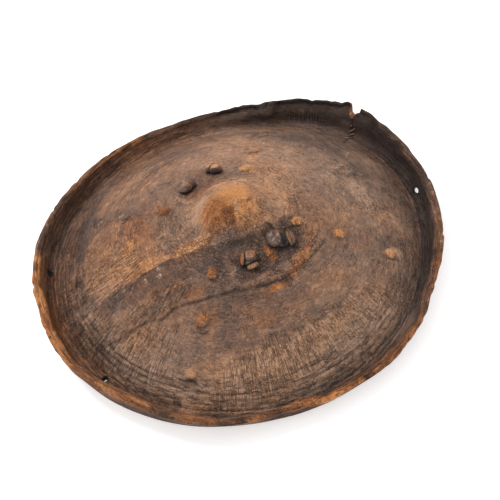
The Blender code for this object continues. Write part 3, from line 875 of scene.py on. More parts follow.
def section_place(spots):
    """(radius, height, angle) in the section for points of the shield: place() the other way round."""
    angle = np.arctan2(spots[:, 1], spots[:, 0])
    wave = sum(size * np.cos(count * (angle - math.radians(at))) for count, size, at in OUTLINE_WAVES)
    reach = np.hypot(spots[:, 0], spots[:, 1])
    radius = reach
    for _ in range(6):
        radius = reach - wave * smooth(radius, RIM_RADIUS * OUTLINE_FROM, RIM_RADIUS)
    lift = rim_rise(angle) * np.where(radius > TROUGH_RADIUS, smooth(spots[:, 2], HIDE, RIM_HEIGHT), 0.0)
    return radius, spots[:, 2] - lift, angle


def put_points(item, spots):
    """Move the points of a mesh."""
    item.data.vertices.foreach_set("co", (spots - MIDDLE).ravel())


print("the cut hide has", len(spots_of(hide)), "points")

# %% Where the points of the cut hide lie
spots = spots_of(hide)
facing = normals_of(hide)
plan = 1000 * spots[:, :2]
radius, height, angle = section_place(spots)
reach = 1000 * radius
turn = np.degrees(angle) % 360
mid_line = np.where(radius < TROUGH_RADIUS, dish_height(0, np.minimum(radius, 0.22), angle), 0)
on_lip = smooth(height, RIM_HEIGHT - 0.004, RIM_HEIGHT + 0.001) * (radius > RIM_RADIUS - 0.009)
outer = (radius > RIM_RADIUS - 0.001).astype(float) * (facing[:, 2] < 0.35)
inward = -(facing[:, 0] * np.cos(angle) + facing[:, 1] * np.sin(angle)) > 0.15
on_wall = (radius > WALL_FROM) & (radius <= RIM_RADIUS + 0.001) & ((facing[:, 2] > -0.1) | inward)
inner_wall = on_wall.astype(float) * (1 - on_lip)
down = (facing[:, 2] < -0.05) & (height < mid_line) | (radius > TROUGH_RADIUS) & (facing[:, 2] < -0.3)
behind = down & (inner_wall < 0.5)
rim_mm = 1000 * (radius - RIM_RADIUS)     # from the middle of the lip, outwards
print(int(behind.sum()), "points on the back,", int(inner_wall.sum()), "on the inner wall")


# %% Paint tools
def inside(where, outline, soft):
    """1 inside a drawn outline and 0 outside, with an edge this soft, in millimetres."""
    outline = [tuple(corner) for corner in outline]
    closed = outline + outline[:1]
    distance, _, _ = from_line(where, closed)
    within = np.zeros(len(where), bool)
    for (x0, y0), (x1, y1) in zip(closed, closed[1:]):
        crosses = (y0 > where[:, 1]) != (y1 > where[:, 1])
        level = x0 + (where[:, 1] - y0) / ((y1 - y0) or 1e-9) * (x1 - x0)
        within ^= crosses & (where[:, 0] < level)
    return smooth(np.where(within, distance, -distance), -soft, soft)


LAYERS = ("tone", "warm", "soot", "pale", "rings", "rays", "crazed")


class Paint:
    """The painted values at the points of one mesh, and the brushes that change them."""

    def __init__(self, spots, wander, seed):
        drift = [wander * lumps(spots, 0.009, seed + axis) for axis in (0, 1)]
        self.plan = 1000 * spots[:, :2] + np.stack(drift, -1)
        for name in LAYERS:
            setattr(self, name, np.zeros(len(spots)))

    def towards(self, mask, tone, warm):
        """Move tone and warm towards new values under a mask."""
        self.tone = self.tone + (tone - self.tone) * mask
        self.warm = self.warm + (warm - self.warm) * mask

    def dab(self, x, y, long, wide, turn, tone, warm, strength=0.8, soft=0.5):
        """An oval dab of colour."""
        self.towards(strength * patch(self.plan, x, y, long, wide, turn, soft), tone, warm)

    def dabs(self, table):
        for dab in table:
            self.dab(*dab)

    def wash(self, x, y, long, wide, turn, lighter, warmer):
        """A thin oval wash that lightens and warms, or darkens and cools, what is there, by hundredths."""
        mask = patch(self.plan, x, y, long, wide, turn, 0.7) / 100
        self.tone, self.warm = self.tone + lighter * mask, self.warm + warmer * mask

    def sooty(self, mask):
        """Add soot and painted shade under a mask."""
        self.soot = 1 - (1 - self.soot) * (1 - mask)

    def make_pale(self, mask):
        """Make the hide pale under a mask, for scuffs and for painted highlights and glints."""
        self.pale = 1 - (1 - self.pale) * (1 - mask)

    def store(self, item):
        """Keep the values with the mesh, where its material reads them."""
        for name in LAYERS:
            layer = item.data.attributes.new(name, "FLOAT", "POINT")
            layer.data.foreach_set("value", np.clip(getattr(self, name), 0, 1).astype(np.float32))


paint = Paint(spots, 1.2, 40)
paint.towards(1, 0.5, 0.1)
print("painting", len(paint.tone), "points in", len(LAYERS), "layers")

# %% Sides of the shield, as soft masks
signed = (turn + 180) % 360 - 180
right = np.exp(-(signed / 70) ** 2)
left_side = np.exp(-((turn - 185) / 38) ** 2)
near_side = np.exp(-((turn - 258) / 44) ** 2)
far_side = smooth(turn, 4, 20) * (1 - smooth(turn, 84, 110))
upper_left = np.exp(-((turn - 130) / 36) ** 2)
burnt_side = smooth(turn, 4, 14) * (1 - smooth(turn, 62, 84))
print("the burnt side has", int((burnt_side > 0.5).sum()), "points")

# %% The grey ring outside the face, and the foot of the wall
ring_from = 186 - 22 * right + 12 * near_side
paint.towards(smooth(reach, ring_from, ring_from + 16),
              0.28 + 0.12 * left_side + 0.10 * near_side, 0.06 + 0.08 * left_side)
paint.towards(smooth(reach, 214, 228),
              0.22 + 0.08 * left_side + 0.08 * far_side, 0.14 + 0.2 * left_side - 0.12 * far_side)
print("mean tone", paint.tone.mean().round(3))

# %% The lip and the outside
RIM_TONES = (     # degrees, tone and warmth of the lip, soot
    (0, 0.16, 0.3, 0.3), (8, 0.16, 0.1, 0.4), (12, 0.1, 0, 0.62), (48, 0.1, 0, 0.62), (62, 0.12, 0.1, 0.55),
    (74, 0.2, 0.3, 0.3), (90, 0.28, 0.5, 0.1), (104, 0.3, 0.6, 0), (122, 0.28, 0.6, 0),
    (136, 0.28, 0.4, 0.15), (147, 0.24, 0.1, 0.3), (151, 0.66, 1, 0), (164, 0.64, 1, 0),
    (176, 0.46, 0.9, 0), (188, 0.58, 0.9, 0), (198, 0.4, 0.5, 0.2), (206, 0.46, 0.8, 0),
    (214, 0.26, 0.4, 0.3), (228, 0.54, 0.8, 0), (238, 0.52, 0.9, 0), (246, 0.32, 0.5, 0.2),
    (254, 0.54, 1, 0), (268, 0.52, 1, 0), (278, 0.34, 0.8, 0.2), (288, 0.42, 1, 0), (300, 0.34, 0.8, 0.15),
    (315, 0.38, 1, 0), (328, 0.28, 0.7, 0.1), (342, 0.18, 0.5, 0.2), (360, 0.16, 0.3, 0.3),
)
rim_turn, *rim_values = np.array(RIM_TONES).T
rim_tone, rim_warm, rim_soot = (np.interp(turn, rim_turn, values) for values in rim_values)
paint.towards(on_lip, rim_tone, rim_warm)
# The outer side is painted darker than the lip and darkest low down, as painted shade below the lip, over
# the lip's own soot.
paint.towards(outer, 0.60 * rim_tone, rim_warm)
paint.sooty(on_lip * rim_soot)
low_soot = 0.55 * (1 - smooth(height, RIM_HEIGHT - 0.012, RIM_HEIGHT - 0.002))
paint.sooty(outer * np.maximum(rim_soot, low_soot))
print(int((on_lip > 0.5).sum()), "points on the lip")

# %% The wall inside the rim
up_wall = smooth(height, 0.006, 0.013)
dark_wall = smooth(signed, -66, -36) * (1 - smooth(signed, 60, 80))
not_far_foot = inner_wall * (1 - far_side * (1 - up_wall))
paint.towards(not_far_foot, 0.20 + 0.14 * left_side,
              0.10 + 0.30 * left_side + 0.5 * np.exp(-((turn - 163) / 16) ** 2))
paint.towards(inner_wall * upper_left, 0.16, 0.40)
paint.towards(inner_wall * dark_wall * up_wall, 0.04 + 0.18 * smooth(turn, 28, 50) * (turn < 90), 0.0)
paint.sooty(inner_wall * 0.35 * dark_wall * (1 - smooth(signed, 4, 26)))
paint.sooty(not_far_foot * (0.10 + 0.36 * dark_wall))
print("darkest wall tone", paint.tone[inner_wall > 0.5].min().round(3))

# %% Worn streaks and thin lines along the lip
worn_lip = on_lip * (1 - burnt_side)
paint.towards(0.9 * worn_lip * right * (rim_mm < 1.2), 0.08, 0.1)
lightened = (on_lip + outer) * (1 - burnt_side) * (1 - 0.8 * right) * 0.8
paint.towards(lightened * smooth(lumps(spots, 0.020, 33), 0.15, 0.70), 0.68, 0.95)
for middle, width, mark, seed in ((-2.4, 0.8, 0.75, 83), (0.2, 0.7, 0.05, 84), (2.0, 0.7, 0.60, 85)):
    thin = np.exp(-((rim_mm - middle + 0.6 * lumps(spots, 0.02, seed)) / width) ** 2)
    broken = smooth(lumps(spots, 0.018, seed + 3), -0.4, 0.3)
    paint.towards(0.8 * worn_lip * (1 - 0.7 * right) * thin * broken, mark, 0.8)
blotched = smooth(lumps(spots, 0.016, 31) + 0.5 * lumps(spots, 0.034, 32), 0.20, 0.75)
paint.sooty((on_lip + outer) * 0.55 * blotched)
paint.make_pale(worn_lip * 0.30 * smooth(lumps(spots, 0.0055, 34), 0.45, 0.75))
edge_line = np.exp(-((rim_mm - 2.2) / 0.9) ** 2) * (0.4 + 0.6 * smooth(lumps(spots, 0.02, 35), -0.4, 0.2))
paint.towards(0.8 * worn_lip * edge_line * right, 0.70, 0.7)
print("mean tone of the lip", paint.tone[on_lip > 0.5].mean().round(3))

# %% Light rims between the slits, and the yellow hide that shows on one side of the tear
up_wall_plan = np.stack((1000 * RIM_RADIUS * angle, 1000 * height), -1)
for degrees, foot, top in SLITS:
    beside = 1000 * RIM_RADIUS * math.radians(degrees + 0.42)
    line = ((beside, foot - 2), (beside + 0.4, (foot + top) / 2), (beside, top + 1))
    rim_light = stroke(up_wall_plan, line, 1.5, 0.8) * (radius > WALL_FROM)
    paint.towards(0.6 * rim_light, 0.36, 0.05)
    paint.soot = paint.soot * (1 - 0.6 * rim_light)
past_gap = 1000 * RIM_RADIUS * (angle - GAP_AT)
gap_line = [(1000 * across, 1000 * up) for across, up in gap]
from_tear, _, _ = from_line(np.stack((past_gap, 1000 * spots[:, 2]), -1), gap_line)
torn = (from_tear < 1.0) & (abs(angle - GAP_AT) < 0.06) & (radius > 0.232) & (past_gap > 0.6)
torn = torn * (0.5 + 0.5 * smooth(lumps(spots, 0.003, 36), -0.5, 0.2))
paint.towards(torn, 0.95, 0.75)
paint.soot = paint.soot * (1 - torn)
print(int((torn > 0.4).sum()), "points on the torn edge")
print("mean tone", paint.tone.mean().round(3))

# %% Dabs: x, y, half length, half width, turn, tone, warmth, strength
DABS = (
    # far half of the face
    (60, 132, 80, 40, 5, 0.8, 0.14, 0.8), (-60, 148, 66, 28, 12, 0.84, 0.2, 0.8),
    (112, 165, 48, 22, -40, 0.6, 0.12, 0.6), (15, 192, 95, 20, -2, 0.5, 0.14, 0.7),
    (-25, 214, 95, 14, 4, 0.34, 0.25, 0.7), (-150, 156, 32, 28, 30, 0.08, 0, 0.92),
    (-172, 110, 22, 20, 0, 0.14, 0, 0.85), (-186, 134, 20, 24, 0, 0.22, 0.05, 0.7),
    (-116, 186, 42, 14, 35, 0.28, 0.1, 0.75), (-96, 122, 40, 20, 0, 0.55, 0.08, 0.6),
    (-12, 112, 54, 18, 0, 0.68, 0.12, 0.5), (0, 84, 18, 16, 0, 0.4, 0.06, 0.6),
    (130, 140, 11, 13, -20, 0.32, 0.25, 0.8), (96, 76, 46, 42, 0, 0.7, 0.16, 0.6),
    (85, 88, 7, 7, 0, 0.6, 0.7, 0.6), (86, 36, 36, 24, 0, 0.72, 0.34, 0.6),
    (74, 76, 12, 9, 30, 0.95, 0.25, 0.6), (-40, 108, 26, 7, -20, 0.38, 0.05, 0.5),
    (-10, 156, 18, 4, 0, 0.36, 0.1, 0.6), (-64, 178, 30, 10, 10, 0.62, 0.18, 0.5),
    (25, 150, 30, 10, 0, 0.76, 0.1, 0.4),
    # left side
    (-200, 30, 16, 50, 0, 0.24, 0, 0.6), (-202, -20, 14, 34, 0, 0.3, 0.08, 0.5),
    (-208, 60, 14, 50, -12, 0.3, 0.25, 0.5), (-70, 36, 22, 28, 30, 0.52, 0.05, 0.6),
    (-60, 92, 26, 14, 0, 0.42, 0.05, 0.5),
    # right side
    (88, 12, 40, 44, 0, 0.66, 0.16, 0.6), (122, -14, 30, 22, 0, 0.62, 0.02, 0.6),
    (112, -50, 38, 22, -10, 0.6, 0.16, 0.6), (150, -8, 16, 34, 10, 0.72, 0.14, 0.6),
    (156, -62, 20, 28, 15, 0.66, 0.12, 0.5), (168, 6, 10, 12, 0, 0.66, 0.5, 0.6),
    (200, -20, 26, 60, 0, 0.26, 0, 0.6), (190, -110, 26, 50, -35, 0.24, 0.02, 0.6),
    (62, -20, 16, 26, 20, 0.62, 0.32, 0.6), (70, -52, 16, 22, 30, 0.5, 0.34, 0.6),
    # near half
    (-168, -76, 44, 26, -62, 0.62, 0.14, 0.7), (-120, -62, 26, 10, -10, 0.52, 0.2, 0.5),
    (-128, -38, 24, 9, -12, 0.52, 0.12, 0.6), (-178, -24, 22, 12, -10, 0.5, 0.2, 0.6),
    (-60, -96, 48, 18, -24, 0.24, 0.04, 0.75), (-60, -124, 50, 16, -8, 0.34, 0.08, 0.7),
    (0, -122, 60, 14, 4, 0.36, 0.08, 0.6), (-92, -132, 22, 12, -25, 0.28, 0.02, 0.6),
    (30, -152, 34, 11, 4, 0.3, 0.04, 0.7), (-120, -110, 30, 20, -40, 0.56, 0.14, 0.6),
    (50, -132, 40, 18, 0, 0.48, 0.16, 0.5), (-20, -136, 30, 9, 0, 0.52, 0.3, 0.4),
    (95, -108, 22, 14, 10, 0.3, 0.02, 0.6), (118, -118, 26, 10, 20, 0.34, 0, 0.5),
    (110, -144, 26, 10, 20, 0.56, 0.14, 0.5), (62, -168, 44, 12, 12, 0.64, 0.16, 0.6),
    (128, -176, 52, 17, 36, 0.16, 0, 0.85), (90, -192, 40, 12, 14, 0.16, 0, 0.7),
    (-60, -208, 80, 10, -4, 0.2, 0, 0.6), (30, -212, 80, 9, 4, 0.18, 0, 0.6),
)
paint.dabs(DABS)
print(len(DABS), "dabs, mean tone", paint.tone.mean().round(3))

# %% The tan field at the left, and the light band at the near side
TAN_FIELD = (
    (-179, 14), (-182, 40), (-174, 76), (-160, 102), (-140, 110), (-112, 112), (-94, 98), (-84, 74),
    (-86, 44), (-94, 24), (-92, -6), (-112, -1), (-135, 5), (-160, 11),
)
NEAR_BAND = arc(178, 226, 300, 14)
paint.towards(0.75 * inside(paint.plan, TAN_FIELD, 2.5), 0.74, 0.34)
paint.towards(0.75 * (1 - smooth(from_line(paint.plan, NEAR_BAND)[0], 9, 17)), 0.66, 0.16)
TAN_DABS = (
    (-166, 26, 14, 16, 0, 0.92, 0.3, 0.8), (-118, 48, 12, 6, 40, 0.9, 0.6, 0.85),
    (-98, 76, 12, 9, 20, 0.86, 0.36, 0.7), (-150, 66, 12, 22, 10, 0.62, 0.3, 0.6),
    (-110, 8, 14, 9, 0, 0.92, 0.45, 0.8), (-148, 40, 10, 14, 0, 0.8, 0.45, 0.5),
    (-66, -10, 26, 8, -16, 0.92, 0.5, 0.85), (-58, 4, 10, 14, 0, 0.56, 0.15, 0.5),
)
paint.dabs(TAN_DABS)
print("mean tone", paint.tone.mean().round(3))

# %% The boss, the grey stain and what lies on it
STAIN = (
    (-212, 16), (-185, 13), (-160, 8), (-135, 2), (-112, -3), (-92, -8), (-80, -14), (-60, -20), (-45, -28),
    (-30, -37), (-15, -43), (8, -46), (26, -44), (44, -40), (58, -42), (62, -52), (52, -64), (50, -80),
    (24, -90), (-8, -90), (-34, -88), (-50, -76), (-60, -60), (-80, -44), (-110, -36), (-140, -24),
    (-170, -13), (-212, -4),
)
stain_depth = np.interp(paint.plan[:, 0], (-200, -120, -60, 30), (0.28, 0.18, 0.07, 0.05))
# The lightest dabs, on the top of the boss, are worn tan with painted highlight on it.
BOSS_DABS = (
    (-32, 14, 18, 30, 30, 0.84, 0.14, 0.9), (20, 34, 34, 15, -20, 0.78, 0.18, 0.85),
    (48, 8, 14, 26, 10, 0.72, 0.4, 0.7), (-14, -6, 26, 20, 24, 0.56, 0.8, 0.95),
    (10, 5, 18, 15, 20, 0.95, 0.5, 0.9), (4, 16, 14, 8, -10, 0.95, 0.3, 0.7),
    (10, -27, 18, 10, 10, 0.82, 0.6, 0.85), (-18, -27, 22, 10, -25, 0.34, 0.55, 0.8),
    (-12, -17, 8.5, 6.5, 10, 0.12, 0.6, 0.85), (2, -37, 34, 8, 0, 0.5, 0.4, 0.7),
    (31, -18, 12, 13, 0, 0.6, 0.2, 0.75), (-20, 4, 8, 7, 30, 0.72, 1, 0.6),
)
paint.dabs(BOSS_DABS)
# A light stroke with pale on it, along the fold on the boss's near side, is a painted highlight.
NOSE = ((4, -8), (2, -13), (-1, -19), (-4, -23), (-8, -28))
paint.towards(0.95 * stroke(paint.plan, NOSE, 5.5, 0.7), 1.0, 0.6)
paint.make_pale(0.95 * stroke(paint.plan, NOSE[:4], 3.4, 0.8))
paint.towards(0.95 * inside(paint.plan, STAIN, 2.2), stain_depth, 0.0)
STAIN_DABS = (
    (-150, -12, 24, 5, -10, 0.34, 0.05, 0.6), (-110, -20, 26, 8, -14, 0.16, 0, 0.6),
    (-48, -68, 12, 16, 10, 0.34, 0.05, 0.5), (5, -73, 6, 11, 5, 0.55, 0.9, 0.9),
    (34, -92, 20, 6, 14, 0.56, 0.8, 0.8), (24, -102, 18, 3, 14, 0.6, 0.9, 0.8),
    (-10, -110, 11, 3.2, 0, 0.72, 1, 0.9), (58, -74, 12, 8, 40, 0.5, 0.5, 0.6),
    (20, -84, 12, 5, 10, 0.34, 0.2, 0.6), (-90, -62, 14, 7, -20, 0.42, 0.6, 0.6),
    (-92, -92, 16, 10, 0, 0.42, 0.4, 0.6), (-40, -134, 18, 6, -10, 0.44, 0.4, 0.5),
)
paint.dabs(STAIN_DABS)
print("mean tone", paint.tone.mean().round(3))

# %% Where the grain shows rings, rays and crazing
RING_PATCHES = (
    (-112, 70, 26, 22, 0, 0.9), (-200, 0, 26, 50, 0, 0.5), (0, 160, 120, 40, 0, 0.6),
)
RAY_PATCHES = (
    (-200, 30, 28, 46, 0, 1), (-205, -20, 24, 36, 0, 0.8), (-190, -50, 26, 26, 0, 0.8),
    (-150, 30, 40, 34, 0, 0.8), (-168, -80, 34, 40, 30, 0.6), (-130, -42, 40, 14, -14, 0.7),
    (-60, -172, 80, 24, -4, 0.8), (50, -172, 60, 20, 10, 0.6),
)
CRAZED_PATCHES = (
    (0, -28, 44, 20, 0, 0.9), (20, -78, 60, 34, 12, 1), (-66, -12, 34, 12, -18, 0.9),
    (-72, 24, 26, 26, 0, 0.7), (75, 0, 26, 60, 0, 0.5), (156, -50, 20, 50, 12, 0.7),
    (-120, -42, 40, 16, -12, 0.6), (0, -176, 120, 22, 0, 0.7), (168, 8, 22, 22, 0, 0.8),
    (-40, -68, 26, 22, 0, 0.9),
)
face = (radius < TROUGH_RADIUS + 0.004).astype(float) * (1 - behind)


def most(*masks):
    """The largest of several masks."""
    return np.maximum.reduce(masks)


def patches(table):
    """Masks for oval patches of the face: x, y, half length, half width, turn and strength."""
    return [face * strength * patch(paint.plan, *shape, 0.4) for *shape, strength in table]


round_boss = smooth(reach, 46, 52) * (1 - smooth(reach, 84, 100))
near_trough = smooth(reach, 186, 200) * (0.45 + 0.55 * np.clip(left_side + near_side, 0, 1))
paint.rings = most(0.25 * face, face * near_trough, 0.6 * face * round_boss, outer * 0.8,
                   inner_wall * (0.9 - 0.6 * burnt_side), on_lip * (0.9 - 0.7 * burnt_side),
                   *patches(RING_PATCHES))
paint.rays = most(0.12 * face, *patches(RAY_PATCHES))
paint.crazed = most(0.15 * face, *patches(CRAZED_PATCHES))
for name in ("rings", "rays", "crazed"):
    print("mean of the", name, getattr(paint, name).mean().round(3))

# %% Colour of the bumps
BUMP_TONES = (     # one for each bump, far right row first, from the boss outwards: tone, warmth, soot
    (1, 0.45, 0), (0.8, 0.3, 0), (0.62, 0.2, 0.1), (0.5, 1, 0), (0.5, 0.05, 0.1), (0.34, 0.1, 0.2),
    (0.56, 0.95, 0), (0.56, 0.7, 0), (0.62, 0.4, 0), (0.66, 0.9, 0), (0.78, 0.9, 0), (0.9, 0.7, 0),
)
for (x, y), (tone, warm, soot) in zip(bump_spots, BUMP_TONES):
    paint.towards(0.30 * patch(paint.plan, x, y, 13, 13, 0, 0.3), 0.3, 0.2)
    paint.dab(x + 0.6, y + 1.0, 6.6, 6.2, 0, tone, warm, 0.95, 0.3)
    # A dark crescent round the near side of each bump is painted shadow.
    under = np.radians(np.linspace(178, 318, 9))
    bump_shadow_line = np.stack((x + 6.9 * np.cos(under), y + 6.7 * np.sin(under)), -1)
    paint.sooty(0.50 * stroke(paint.plan, bump_shadow_line, 2.0, 0.8))
    paint.sooty(soot * patch(paint.plan, x, y, 6, 6, 0, 0.5))
print(len(BUMP_TONES), "bumps coloured")

# %% Scuffs and painted glints
SCUFFS_AND_GLINTS = (     # x, y, half length, half width, turn, strength
    (-127, -8, 5, 2, 80, 0.9), (-108, -8, 9, 2.2, 80, 0.9), (-111, -16, 3, 5, 0, 0.8),
    (-165, -9, 6, 2, 40, 0.8), (-176, -13, 4, 2, 0, 0.7), (-150, 3, 6, 1.6, -40, 0.7),
    (-144, -4, 4, 1.4, 30, 0.5), (-125, 122, 7, 3, 10, 0.8), (-102, 104, 3, 6, 20, 0.8),
    (82, 135, 3.5, 5, 0, 0.95), (134, 151, 9, 1.6, 60, 0.8), (195, 35, 13, 2, 35, 0.5),
    (165, 15, 9, 2.5, 30, 0.6), (174, 1, 5, 3, 30, 0.6), (150, -66, 8, 2.5, 0, 0.7),
    (160, -38, 2.5, 10, 15, 0.5), (152, -48, 2, 8, 0, 0.4), (81, -150, 6, 1.6, 10, 0.8),
    (116, -145, 5, 2, 40, 0.8), (126, -135, 7, 1.6, 0, 0.6), (93, -93, 4, 2.6, 0, 0.8),
    (101, -88, 2, 2, 0, 0.7), (57, 51, 4, 5, 20, 0.7), (58, 62, 4, 6, 0, 0.8), (-38, -66, 1.6, 5, 0, 0.9),
    (-44, -72, 5, 5, 0, 0.35), (-140, -40, 14, 1.6, 20, 0.4), (-128, -46, 14, 1.4, 25, 0.4),
    (-116, -38, 12, 1.4, 20, 0.35), (-100, -97, 5, 1.8, 10, 0.6), (-56, -64, 3, 1.4, 40, 0.7),
    (-140, -60, 3, 2, 0, 0.6), (108, 34, 3, 1.5, 30, 0.6), (70, 16, 3, 4, 0, 0.5), (-16, 90, 3, 6, 0, 0.5),
    (28, 95, 8, 4, 0, 0.5), (-37, 67, 2, 5, 30, 0.5), (-20, -30, 10, 1.5, 20, 0.2),
    (-70, -8, 12, 2, -15, 0.35), (-60, -16, 9, 2.2, -25, 0.4), (-104, -6, 2, 10, 10, 0.5),
)
for x, y, long, wide, turned_by, strength in SCUFFS_AND_GLINTS:
    paint.make_pale(0.75 * strength * patch(paint.plan, x, y, 0.8 * long, 0.7 * wide, turned_by, 0.8))
print("mean of the scuffs", paint.pale.mean().round(4))

# %% Dark lines
DARK_LINES = (     # width in millimetres, strength, points
    # The two lines along the long crease are painted shade in it.
    (2.8, 0.66, LONG_CREASE[:-4]), (2, 0.5, LONG_CREASE[-6:]), (1.8, 0.8, ((-6, -91), (0, -95), (6, -99))),
    (1.4, 0.5, ((-40, 95), (-30, 98), (-18, 101))), (2, 0.85, ((-70, -60), (-65, -65), (-59, -68))),
    (2.2, 0.85, ((-111, -98), (-106, -104), (-99, -106))),
    (2.4, 0.85, ((-153, -124), (-146, -133), (-138, -141))),
    (2.6, 0.7, ((-108, 92), (-103, 89), (-97, 92))), (2.4, 0.8, ((-134, 127), (-130, 132), (-128, 135))),
    (1.6, 0.6, STAIN[0:8]), (1.8, 0.6, ((10, -45), (20, -42), (27, -44))),
    (1.4, 0.5, ((9, -50), (14, -46), (22, -42), (26, -43))), (1.2, 0.6, ((22, -42), (28, -50))),
    (1.4, 0.6, ((40, -52), (48, -46), (58, -43))), (1.4, 0.55, ((36, -54), (48, -56), (56, -60))),
    (2, 0.35, ((-62, 42), (-50, 53), (-38, 62))), (2, 0.35, ((-66, 44), (-54, 56), (-42, 65))),
    (1.6, 0.35, ((-118, 40), (-112, 46), (-104, 54))), (1.4, 0.3, ((-104, -2), (-106, 20), (-108, 40))),
    (1.4, 0.35, ((-140, -64), (-128, -62), (-118, -60))), (1.4, 0.3, ((-178, 16), (-181, 40), (-176, 60))),
    (1.6, 0.35, ((-150, -118), (-138, -138), (-120, -150), (-100, -158), (-80, -166))),
    (1.4, 0.3, arc(196, 222, 292, 16, 0.8, 1)), (1.6, 0.4, arc(205, 224, 296, 16, 0.8, 2)),
    (1.8, 0.5, arc(212, 218, 300, 16, 0.8, 3)), (2.2, 0.55, arc(219, 190, 310, 20, 0.8, 4)),
    (1.6, 0.35, arc(200, 150, 215, 14, 0.8, 5)), (1.8, 0.4, arc(214, 140, 214, 14, 0.6, 6)),
    (2.6, 0.7, ((212, 66), (220, 72), (228, 75))), (1.6, 0.35, ((100, 95), (106, 94), (113, 92))),
    (1.6, 0.8, ((-9.4, -56.9), (-9, -62), (-8.5, -66.9), (-10, -73), (-12.5, -78.3))),
    (1.6, 0.3, arc(165, 236, 272, 12, 1, 7)), (3, 0.4, arc(222, 312, 345, 12, 0.8, 8)),
    (2, 0.45, arc(108, 262, 300, 10, 1.2, 9)),
)
for width, strength, line in DARK_LINES:
    broken = smooth(lumps(spots, 0.012, 50 + len(line)), -0.55, 0.05)
    paint.sooty(strength * stroke(paint.plan, line, width, 0.6) * (0.35 + 0.65 * broken))
print(len(DARK_LINES), "dark lines, mean soot", paint.soot.mean().round(3))

# %% Darker hide and painted shadow round the knots, a painted highlight above the crease, dark turned lines, painted shade in the rim holes
for ends in STRAPS.values():
    for end in ends:
        x, y = 1000 * strap_end(end)[0][:2]
        strength = 0.3 if y > 0 else 0.7
        paint.towards(strength * patch(paint.plan, x, y, 17, 17, 0, 0.4), 0.14, 0.02)
        # The dark ring at the foot of each knot is painted shadow.
        paint.sooty((0.4 + 0.4 * strength) * patch(paint.plan, x, y, 11.0, 10.5, 0, 0.25))
# A light stroke just above the long crease is a painted highlight on its raised side.
above_crease = [(x - 0.5, y + 3.8) for x, y in LONG_CREASE]
crease_light = stroke(paint.plan, above_crease, 4.0, 0.9) * smooth(lumps(spots, 0.012, 38), -0.6, 0.2)
paint.tone = paint.tone + 0.12 * crease_light
wave, how_strong = turned_lines(spots)
broken = 0.5 + 0.5 * smooth(lumps(spots, 0.025, 69), -0.5, 0.3)
line_mask = (1 - behind) * how_strong * smooth(-wave, 0.30, 0.90) * broken
paint.sooty(0.50 * line_mask)
paint.towards(0.5 * line_mask, 0.14, 0.30)
# The insides of the rim holes are painted dark as shade.
for spot, out, hole_radius in hole_lines:
    offset = spots - spot
    from_axis = np.linalg.norm(offset - np.outer(offset @ out, out), axis=1)
    mask = (1 - smooth(from_axis, hole_radius + 0.0006, hole_radius + 0.0024)) * (abs(offset @ out) < 0.02)
    paint.sooty(0.95 * mask)
    paint.towards(mask, 0.0, 0.0)
print("mean soot", paint.soot.mean().round(3))

